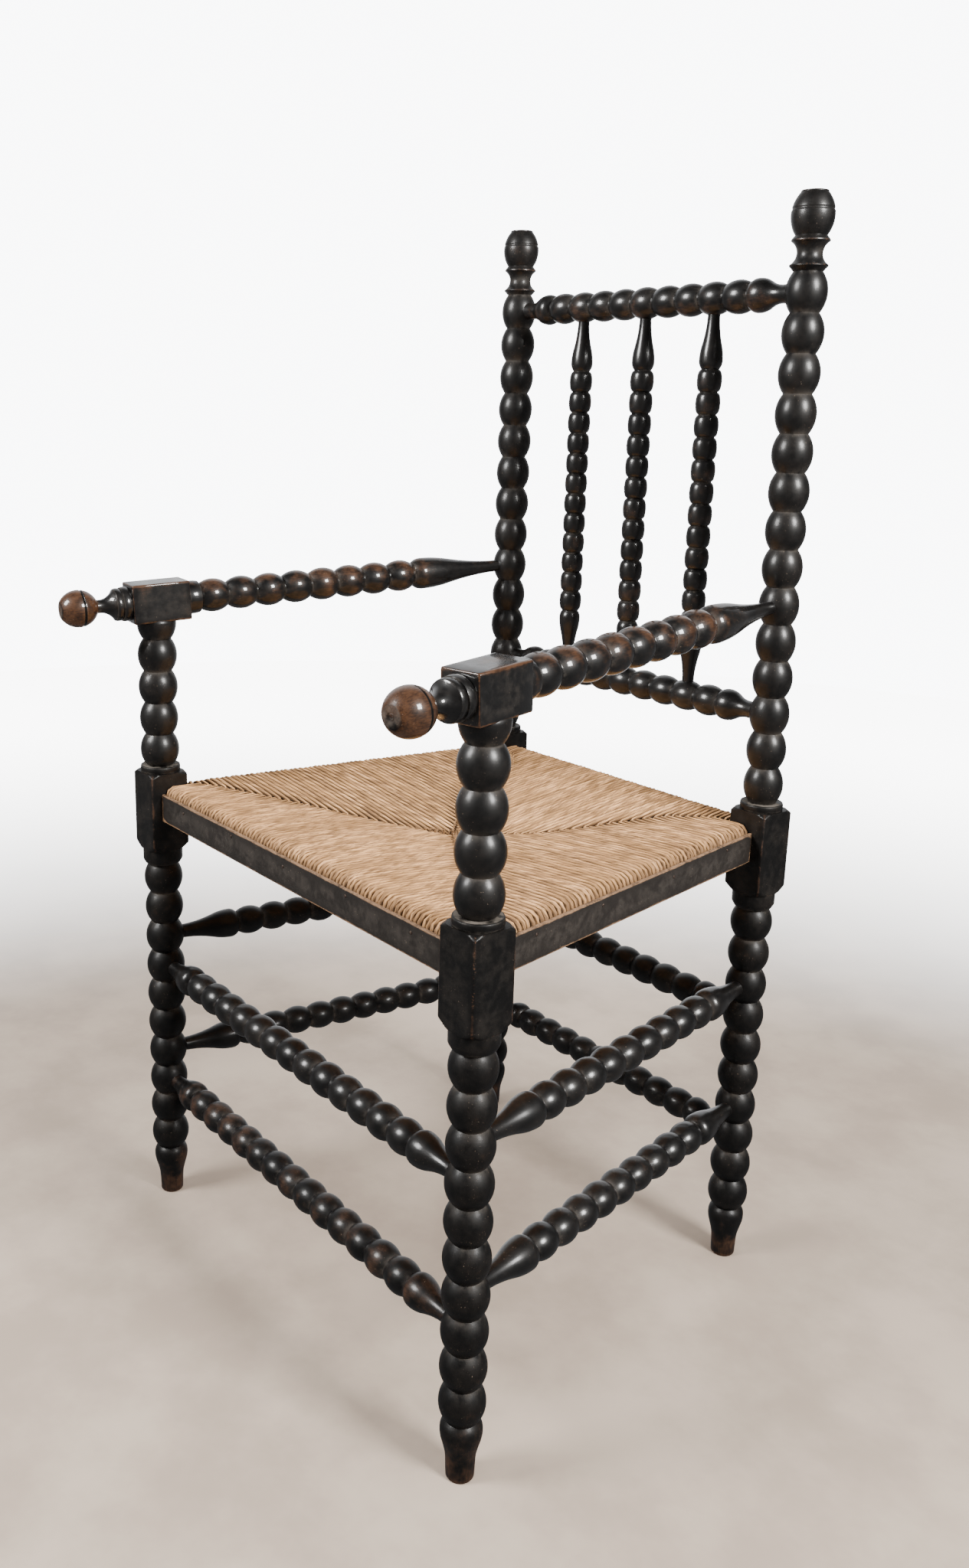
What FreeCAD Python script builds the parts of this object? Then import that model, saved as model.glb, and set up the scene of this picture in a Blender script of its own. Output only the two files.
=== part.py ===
import FreeCAD, Part
import Sketcher
import math
import os
import re

# An open armchair of bobbin-turned wood with a rush seat. Millimetres, +Z up, its front towards -Y,
# and its origin on the floor, below the middle of its width and depth.

doc = FreeCAD.newDocument("bobbin_armchair")

# Driving dimensions. A name that ends in _beads is a count, one that ends in _bead is a place in a string of
# beads, counted from its top, and one that ends in _share is a ratio. The rest are millimetres.
SIZES = {
    # Plan of the post axes
    "front_spacing": 526,
    "back_spacing": 388,
    "seat_depth": 430,
    # Feet
    "foot_height": 58,
    "foot_tip_dia": 24.8,
    "foot_tip_round": 1.5,
    "foot_neck_dia": 26.4,
    "foot_neck_height": 20,
    "foot_swell_dia": 37,
    "foot_swell_height": 47,
    # Strings of beads on the posts
    "lower_bead_dia": 41.4,
    "front_bead_dia": 40.8,
    "back_bead_dia": 38.4,
    "post_groove_dia": 26.5,
    "lower_beads": 10,
    "lower_pitch": 34.5,
    "front_beads": 4,
    "front_pitch": 34,
    "back_beads": 14,
    "back_pitch": 35.8,
    # Square blocks of the posts, with a collar below and above
    "under_collar_dia": 42.2,
    "under_collar_height": 17,
    "under_collar_bevel": 2.5,
    "under_collar_bevel_height": 4,
    "block_size": 42.5,
    "block_height": 86,
    "block_top_dia": 50,
    "block_top_bevel": 3.5,
    "block_base_dia": 46,
    "block_base_bevel": 7,
    "over_collar_dia": 42,
    "over_collar_height": 7,
    "over_collar_round": 1.2,
    # Finials, from the last groove up
    "flange_dia": 34.6,
    "flange_height": 4.5,
    "flange_edge": 1,
    "finial_hollow_dia": 23,
    "finial_hollow_length": 20.5,
    "finial_neck_dia": 28.4,
    "finial_neck_rise": 4,
    "finial_egg_dia": 38.8,
    "finial_egg_length": 36.5,
    "finial_top_dia": 24.5,
    "finial_lip": 1.5,
    "finial_line_rise": 22,
    # Stretchers and back rails
    "bar_pitch": 29.7,
    "bar_bead_dia": 32,
    "bar_groove_dia": 22,
    "bar_neck_dia": 15,
    "rail_neck_dia": 18,
    "bar_crest": 9,
    "front_stretcher_beads": 13,
    "side_stretcher_beads": 9,
    "back_stretcher_beads": 9,
    "back_rail_beads": 9,
    "side_high_bead": 3,
    "side_low_bead": 7,
    "cross_high_bead": 4,
    "cross_low_bead": 8,
    "top_rail_bead": 1,
    "arm_bead": 9,
    "lower_rail_bead": 12,
    # Vases at the ends: where the swell turns into the hollow, as shares of the taper's length and drop
    "vase_turn_share": 0.35,
    "vase_drop_share": 0.33,
    "rail_drop_share": 0.45,
    # Spindles of the back
    "spindle_beads": 12,
    "spindle_pitch": 21.8,
    "spindle_bead_dia": 22,
    "spindle_groove_dia": 15.5,
    "spindle_shoulder_dia": 20.6,
    "spindle_shoulder_run": 4.2,
    "spindle_shoulder_swell": 0.45,
    "spindle_vase_dia": 20.5,
    "spindle_neck_dia": 11.7,
    "spindle_crest": 8,
    "spindle_step_beads": 3,
    # Arms, from the ball back to the tapered end
    "arm_ball_dia": 36.5,
    "arm_ball_length": 36,
    "arm_disc_dia": 18.5,
    "arm_line_reach": 22,
    "arm_neck_dia": 13.8,
    "arm_neck_length": 3,
    "arm_flare_dia": 31,
    "arm_flare_length": 14.5,
    "arm_ring_dia": 34,
    "arm_ring_width": 7,
    "arm_ring_swell": 0.8,
    "arm_shoulder_dia": 36,
    "arm_shoulder_width": 9,
    "arm_block_fore": 29,
    "arm_block_aft": 32,
    "arm_block_wide": 38,
    "arm_block_high": 40.5,
    "arm_collar_dia": 35,
    "arm_collar_width": 14,
    "arm_beads": 8,
    "arm_pitch": 32.1,
    "arm_bead_dia": 35.5,
    "arm_groove_dia": 24,
    "arm_crest": 12,
    "arm_end_dia": 13,
    # The half bead and the tenon that carry an arm on its front post
    "arm_seat_rise": 19.5,
    "arm_tenon_dia": 16,
    "arm_tenon_length": 20,
    # Lines cut round the balls
    "line_depth": 0.9,
    "line_width": 1.8,
    # Edge strips of the seat: how far their outer faces lie outside the post axes, and below the blocks' tops
    "strip_front_set": 10,
    "strip_side_set": 4,
    "strip_thick": 3.5,
    "strip_high": 30,
    "strip_drop": 21,
    "strip_round": 1,
    # Seat rails inside the rush
    "seat_rail_thick": 14,
    "seat_rail_high": 26,
    "seat_rail_round": 5,
    "seat_tenon_dia": 10,
    "seat_tenon_length": 8,
    # Rush
    "seat_drop": 18,
    "rush_cover": 4.5,
    "rush_round": 10,
    "dish_depth": 18,
    "dish_reach": 195,
    "dish_flat_share": 0.05,
    "under_dish_depth": 8,
    # Fits
    "tenon_fit": 0.2,
    "tenon_end_gap": 0.5,
    "socket_core": 5,
    "rail_socket_core": 4,
    "seat_fit": 0.3,
}

# Places and lengths that follow from the driving dimensions.
LAYOUT = {
    "front_x": "front_spacing / 2",
    "back_x": "back_spacing / 2",
    "mid_x": "(front_x + back_x) / 2",
    "side_yaw": "atan((front_x - back_x) / seat_depth)",
    "side_run": "sqrt((front_x - back_x)^2 + seat_depth^2)",
    "arm_flare_start": "arm_ball_length + arm_neck_length",
    "arm_ring_start": "arm_flare_start + arm_flare_length",
    "arm_shoulder_start": "arm_ring_start + arm_ring_width",
    "arm_block_start": "arm_shoulder_start + arm_shoulder_width",
    "arm_reach": "arm_block_start + arm_block_fore",
    "arm_block_end": "arm_reach + arm_block_aft",
    "arm_bead_start": "arm_block_end + arm_collar_width",
    "arm_bead_end": "arm_bead_start + arm_beads * arm_pitch",
    "front_y": "(arm_reach * cos(side_yaw) - seat_depth - block_size / 2) / 2",
    "mid_y": "front_y + seat_depth / 2",
    "back_y": "front_y + seat_depth",
    "lower_top": "foot_height + lower_beads * lower_pitch",
    "block_base": "lower_top + under_collar_height",
    "block_top": "block_base + block_height",
    "upper_base": "block_top + over_collar_height",
    "front_bead_top": "upper_base + front_beads * front_pitch",
    "front_top": "front_bead_top + arm_seat_rise",
    "finial_base": "upper_base + back_beads * back_pitch",
    "finial_hollow_base": "finial_base + flange_height + flange_edge",
    "finial_hollow_top": "finial_hollow_base + finial_hollow_length",
    "finial_egg_base": "finial_hollow_top + flange_edge + finial_neck_rise",
    "finial_egg_top": "finial_egg_base + finial_egg_length",
    "side_high_z": "lower_top - (side_high_bead - 0.5) * lower_pitch",
    "side_low_z": "lower_top - (side_low_bead - 0.5) * lower_pitch",
    "cross_high_z": "lower_top - (cross_high_bead - 0.5) * lower_pitch",
    "cross_low_z": "lower_top - (cross_low_bead - 0.5) * lower_pitch",
    "top_rail_z": "finial_base - (top_rail_bead - 0.5) * back_pitch",
    "lower_rail_z": "finial_base - (lower_rail_bead - 0.5) * back_pitch",
    "arm_front_z": "front_top + arm_block_high / 2",
    "arm_back_z": "finial_base - (arm_bead - 0.5) * back_pitch",
    "arm_rise": "atan((arm_back_z - arm_front_z) / side_run)",
    "arm_run": "side_run / cos(arm_rise)",
    "rush_high": "seat_rail_high + 2 * rush_cover",
    "rush_base": "block_top - seat_drop - rush_high",
    "seat_rail_z": "rush_base + rush_high / 2",
    "strip_base": "block_top - strip_drop - strip_high",
    "rush_front_set": "strip_front_set - strip_thick",
    "rush_side_set": "strip_side_set - strip_thick",
    "rush_depth": "seat_depth + 2 * rush_front_set",
    "rush_crest": "rush_cover + seat_rail_thick / 2",
    "front_rail_inset": "rush_crest - rush_front_set",
    "side_rail_inset": "rush_crest - rush_side_set",
    "front_span": "front_spacing - block_size",
    "back_span": "back_spacing - block_size",
    "side_span": "(seat_depth - block_size) / cos(side_yaw)",
    "notch_reach": "block_size / 2 + seat_fit",
    "seat_socket_depth": "seat_tenon_length + tenon_end_gap",
}

OWNER = {**dict.fromkeys(SIZES, "Sizes."), **dict.fromkeys(LAYOUT, "Layout.")}
LEFT = -1
RIGHT = 1
# Turns a body's Z axis to run across the chair
ACROSS = {"yaw": "-90 deg", "roll": "-90 deg"}
# Two lengths that differ by less than this are the same
NEAR = 0.01
SPINDLES = {"spindle_left": -1, "spindle_middle": 0, "spindle_right": 1}


def bound(text):
    """An expression in which each size is led by the name of its sheet."""
    return re.sub(r"[a-z]\w*", lambda word: OWNER.get(word.group(), "") + word.group(), text)


def value(text):
    """What an expression comes to, as a plain number."""
    result = layout.evalExpression(bound(text))
    return float(getattr(result, "Value", result))


def fill_sheet(name, cells):
    sheet = doc.addObject("Spreadsheet::Sheet", name)
    for row, (alias, content) in enumerate(cells.items(), start=1):
        sheet.set(f"A{row}", alias)
        sheet.set(f"B{row}", content)
        sheet.setAlias(f"B{row}", alias)
    return sheet


fill_sheet("Sizes", {alias: str(size) for alias, size in SIZES.items()})
layout = fill_sheet("Layout", {alias: "=" + bound(text) for alias, text in LAYOUT.items()})
doc.recompute()


def place(x="0", y="0", z="0", yaw="0 deg", pitch="0 deg", roll="0 deg"):
    """A placement as an expression, turned about Z, then Y, then X."""
    return f"placement(vector({x}; {y}; {z}); rotation({yaw}; {pitch}; {roll}))"


def new_body(label, placement):
    body = doc.addObject("PartDesign::Body", label)
    body.Label = label
    body.setExpression("Placement", bound(placement))
    return body


def origin_plane(body, role):
    return next(feature for feature in body.Origin.OriginFeatures if feature.Role == role)


def feature(body, kind, name, **expressions):
    """A feature of a body, with its properties bound to expressions."""
    made = body.newObject("PartDesign::" + kind, name)
    for key, text in expressions.items():
        made.setExpression(key, bound(text))
    return made


# Edges of an outline, each named for the way that it leaves its first point.
LINE = ("line", "0")
CREST = ("crest", "0")
SMOOTH = ("smooth", "0")


def swell(rise):
    return ("swell", rise)


def hollow(rise):
    return ("hollow", rise)


def edge_rise(kind, rise, chord, across, heading):
    """Height of an edge's arc over its chord.
    A crest ends along Y, and a smooth edge goes on as the last one ended."""
    if kind == "swell":
        return value(rise)
    if kind == "hollow":
        return -value(rise)
    if kind == "crest":
        return chord.Length / 2 * math.tan(math.atan2(chord.x, chord.y) / 2)
    if kind == "smooth":
        return chord.Length / 2 * math.tan(math.asin(heading.dot(across)) / 2)
    return 0


def radius_text(kind, rise, start, end):
    """The radius of a swell, hollow or crest, from the expressions of its two points."""
    run_x = f"(({end[0]}) - ({start[0]}))"
    run_y = f"(({end[1]}) - ({start[1]}))"
    if kind == "crest":
        return f"({run_x}^2 + {run_y}^2) / (2 * {run_x})"
    return f"({run_x}^2 + {run_y}^2) / (8 * ({rise})) + ({rise}) / 2"


def drive(sketch, text, *constraint):
    """Adds a dimension to a sketch and binds it to an expression."""
    index = sketch.addConstraint(Sketcher.Constraint(*constraint, value(text)))
    sketch.setExpression(f"Constraints[{index}]", bound(text))


def outline(body, name, role, points, lift="0"):
    """A closed outline on an origin plane.
    A point is (x, y), or (x, y, edge) where the edge that leaves it isn't straight."""
    sketch = body.newObject("Sketcher::SketchObject", name)
    sketch.AttachmentSupport = (origin_plane(body, role), [""])
    sketch.MapMode = "FlatFace"
    sketch.setExpression("AttachmentOffset.Base.z", bound(lift))
    places = [FreeCAD.Vector(value(point[0]), value(point[1]), 0) for point in points]
    edges = [point[2] if len(point) > 2 else LINE for point in points]
    heading = None
    first = []
    for index, (kind, rise) in enumerate(edges):
        start = places[index]
        end = places[(index + 1) % len(places)]
        chord = end - start
        across = FreeCAD.Vector(chord.y, -chord.x, 0).normalize()
        bow = edge_rise(kind, rise, chord, across, heading)
        middle = (start + end) / 2 + across * bow
        curve = Part.LineSegment(start, end) if kind == "line" else Part.Arc(start, middle, end)
        sketch.addGeometry(curve)
        turn = 2 * math.atan2(2 * bow, chord.Length)
        heading = chord / chord.Length * math.cos(turn) - across * math.sin(turn)
        near = (sketch.getPoint(index, 1) - start).Length
        far = (sketch.getPoint(index, 2) - start).Length
        first.append(1 if near < far else 2)
    for index, (kind, rise) in enumerate(edges):
        last = index - 1 if index else len(edges) - 1
        join = "Tangent" if kind == "smooth" else "Coincident"
        sketch.addConstraint(Sketcher.Constraint(join, last, 3 - first[last], index, first[index]))
        spot = (index, first[index])
        if places[index].x:
            drive(sketch, points[index][0], "DistanceX", -1, 1, *spot)
        else:
            sketch.addConstraint(Sketcher.Constraint("PointOnObject", *spot, -2))
        if places[index].y:
            drive(sketch, points[index][1], "DistanceY", -1, 1, *spot)
        else:
            sketch.addConstraint(Sketcher.Constraint("PointOnObject", *spot, -1))
        if kind in ("swell", "hollow", "crest"):
            end = points[(index + 1) % len(points)]
            drive(sketch, radius_text(kind, rise, points[index], end), "Radius", index)
    return sketch


def turning(body, name, points, kind="Revolution"):
    """Turns a half outline, (radius, height) by point, about the body's Z axis.
    A Groove cuts it away instead."""
    sketch = outline(body, name + "Outline", "XZ_Plane", points)
    turned = feature(body, kind, name)
    turned.Profile = sketch
    turned.ReferenceAxis = (sketch, ["V_Axis"])
    turned.Angle = 360
    body.Tip = turned
    return turned


def string_of_beads(body, name, start, pitch, count, sides, downward=False):
    """A row of beads that meet in sharp grooves.
    sides lists the first bead's outline from groove to groove."""
    points = [("0", start), *sides, ("0", f"{start} + {pitch}")]
    bead = turning(body, name, points)
    row = feature(body, "LinearPattern", name + "Row", Offset=pitch, Occurrences=count)
    row.Originals = [bead]
    row.Direction = (bead.Profile[0], ["V_Axis"])
    row.Reversed = downward
    row.Mode = "Spacing"
    body.Tip = row


def round_bead(start, pitch, bead_dia, groove_dia):
    """A bead whose side is one arc."""
    crown = swell(f"({bead_dia} - {groove_dia}) / 2")
    return [(f"{groove_dia} / 2", start, crown), (f"{groove_dia} / 2", f"{start} + {pitch}")]


def barrel_bead(start):
    """A spindle's bead, with a flatter crown between two shoulders."""
    shoulder = swell("spindle_shoulder_swell")
    crown = swell("(spindle_bead_dia - spindle_shoulder_dia) / 2")
    end = f"{start} + spindle_pitch"
    return [
        ("spindle_groove_dia / 2", start, shoulder),
        ("spindle_shoulder_dia / 2", f"{start} + spindle_shoulder_run", crown),
        ("spindle_shoulder_dia / 2", f"{end} - spindle_shoulder_run", shoulder),
        ("spindle_groove_dia / 2", end),
    ]


def vase(body, base, entry, tip, form):
    """The end of a bar: a swell next to its last bead, a hollow taper to the entry and a tenon to the tip."""
    swell_end = f"({base} + {form['crest']})"
    turn_z = f"{swell_end} + vase_turn_share * ({entry} - {swell_end})"
    turn_dia = f"({form['vase']} - {form['drop']} * ({form['vase']} - {form['neck']}))"
    points = [
        ("0", base),
        (f"{form['groove']} / 2", base, CREST),
        (f"{form['vase']} / 2", swell_end, SMOOTH),
        (f"{turn_dia} / 2", turn_z, SMOOTH),
        (f"{form['neck']} / 2", entry),
        (f"{form['neck']} / 2", tip),
        ("0", tip),
    ]
    return turning(body, "Vase", points)


def socket(body, name, placement, tenon_dia, length):
    """A round hole along the Z axis of a placement, for a tenon."""
    hole = feature(body, "SubtractiveCylinder", name, Height=length)
    hole.setExpression("Radius", bound(f"({tenon_dia} + tenon_fit) / 2"))
    hole.setExpression("Placement", bound(placement))
    body.Tip = hole


def mirrored(body, name, original, role):
    copy = feature(body, "Mirrored", name)
    copy.Originals = [original]
    copy.MirrorPlane = (origin_plane(body, role), [""])
    body.Tip = copy


def rounded(body, name, base, radius, chosen):
    """Rounds those edges of a feature whose middle passes a test."""
    doc.recompute()
    names = []
    for number, edge in enumerate(base.Shape.Edges, start=1):
        middle = edge.valueAt((edge.FirstParameter + edge.LastParameter) / 2)
        if chosen(edge, middle):
            names.append(f"Edge{number}")
    fillet = feature(body, "Fillet", name)
    fillet.Base = (base, names)
    fillet.setExpression("Radius", bound(radius))
    body.Tip = fillet
    return fillet


# Sizes of the four kinds of turned bar, by the part of the bar that they shape.
BAR = {
    "groove": "bar_groove_dia",
    "vase": "bar_bead_dia",
    "neck": "bar_neck_dia",
    "crest": "bar_crest",
    "drop": "vase_drop_share",
}
RAIL = {**BAR, "neck": "rail_neck_dia", "drop": "rail_drop_share"}
SPINDLE = {
    "groove": "spindle_groove_dia",
    "vase": "spindle_vase_dia",
    "neck": "spindle_neck_dia",
    "crest": "spindle_crest",
    "drop": "vase_drop_share",
}
ARM = {
    "groove": "arm_groove_dia",
    "vase": "arm_bead_dia",
    "neck": "arm_end_dia",
    "crest": "arm_crest",
    "drop": "vase_drop_share",
}


def bobbin_bar(label, placement, run, count, form=BAR, post_dia="lower_bead_dia"):
    """A turned bar along Z about its middle: beads, then a vase and a tenon at each end.
    run is the distance between the axes of the posts that it joins, and post_dia their thickness."""
    body = new_body(label, placement)
    base = f"{count} * bar_pitch / 2"
    start = f"{base} - bar_pitch"
    end = vase(body, base, f"({run} - {post_dia}) / 2", f"{run} / 2 - socket_core - tenon_end_gap", form)
    bead = round_bead(start, "bar_pitch", "bar_bead_dia", "bar_groove_dia")
    string_of_beads(body, "Bead", start, "bar_pitch", count, bead, downward=True)
    mirrored(body, "OtherVase", end, "XY_Plane")
    return body


def stretchers_and_rails():
    """Two tiers of stretchers on each side, and the back's two rails, each in the middle of a post's bead."""
    tiers = [("upper", "cross_high_z", "side_high_z"), ("lower", "cross_low_z", "side_low_z")]
    for tier, cross_z, side_z in tiers:
        front = place("0", "front_y", cross_z, **ACROSS)
        bobbin_bar(f"stretcher_front_{tier}", front, "front_spacing", "front_stretcher_beads")
        back = place("0", "back_y", cross_z, **ACROSS)
        bobbin_bar(f"stretcher_back_{tier}", back, "back_spacing", "back_stretcher_beads")
        for name, side in (("left", LEFT), ("right", RIGHT)):
            along = place(f"{side} * mid_x", "mid_y", side_z, yaw=f"{side} * side_yaw", roll="-90 deg")
            bobbin_bar(f"stretcher_{name}_{tier}", along, "side_run", "side_stretcher_beads")
    rails = [("top_rail", "top_rail_z", "-90 deg"), ("lower_rail", "lower_rail_z", "90 deg")]
    for label, height, facing in rails:
        across = place("0", "back_y", height, **ACROSS)
        rail = bobbin_bar(label, across, "back_spacing", "back_rail_beads", RAIL, "back_bead_dia")
        for name, step in SPINDLES.items():
            mouth = place("0", "0", f"{step} * spindle_step_beads * bar_pitch", roll=facing)
            inward = place("0", "0", "rail_socket_core")
            socket(rail, "Socket_" + name, f"{mouth} * {inward}", "spindle_neck_dia", "bar_bead_dia")


def spindles():
    """Three upright spindles between the rails of the back."""
    half_run = "(top_rail_z - lower_rail_z) / 2"
    base = "spindle_beads * spindle_pitch / 2"
    start = f"{base} - spindle_pitch"
    for label, step in SPINDLES.items():
        middle_z = "(top_rail_z + lower_rail_z) / 2"
        body = new_body(label, place(f"{step} * spindle_step_beads * bar_pitch", "back_y", middle_z))
        entry = f"({half_run} - bar_bead_dia / 2)"
        end = vase(body, base, entry, f"{half_run} - rail_socket_core - tenon_end_gap", SPINDLE)
        bead = barrel_bead(start)
        string_of_beads(body, "Bead", start, "spindle_pitch", "spindle_beads", bead, downward=True)
        mirrored(body, "OtherVase", end, "XY_Plane")


def post_foot(body):
    """A foot that swells under its first groove and narrows, in an ogee, to the floor."""
    tip = "foot_tip_dia / 2"
    middle_z = "(foot_neck_height + foot_swell_height) / 2"
    turning(body, "Foot", [
        ("0", "0"),
        (f"{tip} - foot_tip_round", "0"),
        (tip, "foot_tip_round"),
        ("foot_neck_dia / 2", "foot_neck_height", SMOOTH),
        ("(foot_neck_dia + foot_swell_dia) / 4", middle_z, SMOOTH),
        ("foot_swell_dia / 2", "foot_swell_height", SMOOTH),
        ("post_groove_dia / 2", "foot_height"),
        ("0", "foot_height"),
    ])


def post_block(body):
    """A square block between a plain collar and a disc. Its corners are turned to cones at both ends."""
    collar = "under_collar_dia / 2"
    turning(body, "UnderCollar", [
        ("0", "lower_top"),
        (f"{collar} - under_collar_bevel", "lower_top"),
        (collar, "lower_top + under_collar_bevel_height"),
        (collar, "block_base"),
        ("0", "block_base"),
    ])
    block = feature(body, "AdditiveBox", "Block", Length="block_size", Width="block_size")
    block.setExpression("Height", bound("block_height"))
    block.setExpression("Placement", bound(place("-block_size / 2", "-block_size / 2", "block_base")))
    body.Tip = block
    disc = "over_collar_dia / 2 - over_collar_round"
    turning(body, "OverCollar", [
        ("0", "block_top"),
        (disc, "block_top", swell("over_collar_round")),
        (disc, "upper_base"),
        ("0", "upper_base"),
    ])
    corner = "block_size / sqrt(2)"
    for name, dia, end, reach in (
            ("TopBevel", "block_top_dia", "block_top", "block_top - block_top_bevel"),
            ("BaseBevel", "block_base_dia", "block_base", "block_base + block_base_bevel")):
        turning(body, name, [(f"{dia} / 2", end), (corner, end), (corner, reach)], kind="Groove")


def cut_line(body, name, radius, height):
    """A fine line cut round a ball."""
    turning(body, name, [
        (f"{radius} - line_depth", height),
        (f"{radius} + line_depth", f"{height} + line_width"),
        (f"{radius} + line_depth", f"{height} - line_width"),
    ], kind="Groove")


def finial(body):
    """Two sharp flanges with a hollow between them, and an egg with a flat top."""
    flange = "flange_dia / 2"
    waist = hollow("(flange_dia - finial_hollow_dia) / 2")
    egg = swell("finial_egg_dia / 2 - (finial_neck_dia + finial_top_dia) / 4")
    lip = "finial_top_dia / 2 - finial_lip"
    turning(body, "Finial", [
        ("0", "finial_base"),
        ("post_groove_dia / 2", "finial_base"),
        (flange, "finial_base + flange_height"),
        (flange, "finial_hollow_base", waist),
        (flange, "finial_hollow_top"),
        (flange, "finial_hollow_top + flange_edge"),
        ("finial_neck_dia / 2", "finial_egg_base", egg),
        ("finial_top_dia / 2", "finial_egg_top"),
        ("finial_top_dia / 2", "finial_egg_top + finial_lip / 2"),
        (lip, "finial_egg_top + finial_lip"),
        ("0", "finial_egg_top + finial_lip"),
    ])
    cut_line(body, "FinialLine", "finial_egg_dia / 2", "finial_egg_base + finial_line_rise")


def arm_seat(body, side):
    """The half bead under an arm, cut along the arm's slope, and the tenon that stands up into its block."""
    half = "front_bead_dia / 2"
    spare = "(front_top + front_bead_dia / 2)"
    turning(body, "ArmSeat", [
        ("0", "front_bead_top"),
        ("post_groove_dia / 2", "front_bead_top", CREST),
        (half, "front_top"),
        (half, spare),
        ("0", spare),
    ])
    slope = place("0", "0", "arm_front_z", yaw=f"{side} * side_yaw", roll="arm_rise")
    over = place("-front_bead_dia", "-front_bead_dia", "-arm_block_high / 2")
    trim = feature(body, "SubtractiveBox", "ArmSlope", Length="2 * front_bead_dia", Width="2 * front_bead_dia")
    trim.setExpression("Height", bound("2 * front_bead_dia"))
    trim.setExpression("Placement", bound(f"{slope} * {over}"))
    body.Tip = trim
    tenon = feature(body, "AdditiveCylinder", "ArmTenon", Radius="arm_tenon_dia / 2")
    tenon.setExpression("Height", bound("arm_seat_rise + arm_tenon_length"))
    tenon.setExpression("Placement", bound(place("0", "0", "front_bead_top")))
    body.Tip = tenon


def post_sockets(body, side, back):
    """Sockets for the stretchers and the seat rails. Side members run to the other post of the same side."""
    core = place("0", "0", "socket_core")
    across = f"{side} * 90 deg"
    along = f"{side} * side_yaw + 180 deg" if back else f"{side} * side_yaw"
    for name, height, yaw in (("CrossHigh", "cross_high_z", across), ("CrossLow", "cross_low_z", across),
                              ("SideHigh", "side_high_z", along), ("SideLow", "side_low_z", along)):
        aim = place("0", "0", height, yaw=yaw, roll="-90 deg")
        socket(body, name, f"{aim} * {core}", "bar_neck_dia", "block_size")
    facing = -1 if back else 1
    aim = place("0", f"{facing} * front_rail_inset", "seat_rail_z", yaw=across, roll="-90 deg")
    bottom = place("0", "0", "block_size / 2 - seat_socket_depth")
    socket(body, "CrossRail", f"{aim} * {bottom}", "seat_tenon_dia", "block_size")
    aim = place("0", "0", "seat_rail_z", yaw=along, roll="-90 deg")
    face = f"(block_size / 2 + {facing} * side_rail_inset * sin(side_yaw)) / cos(side_yaw)"
    bottom = place(f"{-side * facing} * side_rail_inset", "0", f"{face} - seat_socket_depth")
    socket(body, "SideRail", f"{aim} * {bottom}", "seat_tenon_dia", "block_size")


def post(label, side, back):
    """A post from its foot to its finial, or to the tenon that holds an arm."""
    row = "back" if back else "front"
    body = new_body(label, place(f"{side} * {row}_x", f"{row}_y"))
    post_foot(body)
    string_of_beads(body, "LowerBead", "foot_height", "lower_pitch", "lower_beads",
                    round_bead("foot_height", "lower_pitch", "lower_bead_dia", "post_groove_dia"))
    post_block(body)
    pitch = f"{row}_pitch"
    string_of_beads(body, "UpperBead", "upper_base", pitch, f"{row}_beads",
                    round_bead("upper_base", pitch, f"{row}_bead_dia", "post_groove_dia"))
    if back:
        finial(body)
    else:
        arm_seat(body, side)
    post_sockets(body, side, back)
    if back:
        core = place("0", "0", "socket_core")
        for name, height in (("TopRail", "top_rail_z"), ("LowerRail", "lower_rail_z")):
            aim = place("0", "0", height, yaw=f"{side} * 90 deg", roll="-90 deg")
            socket(body, name, f"{aim} * {core}", "rail_neck_dia", "block_size")
        aim = place("0", "0", "arm_back_z", yaw=f"{side} * side_yaw + 180 deg", roll="-90 deg - arm_rise")
        socket(body, "Arm", f"{aim} * {core}", "arm_end_dia", "block_size")


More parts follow.
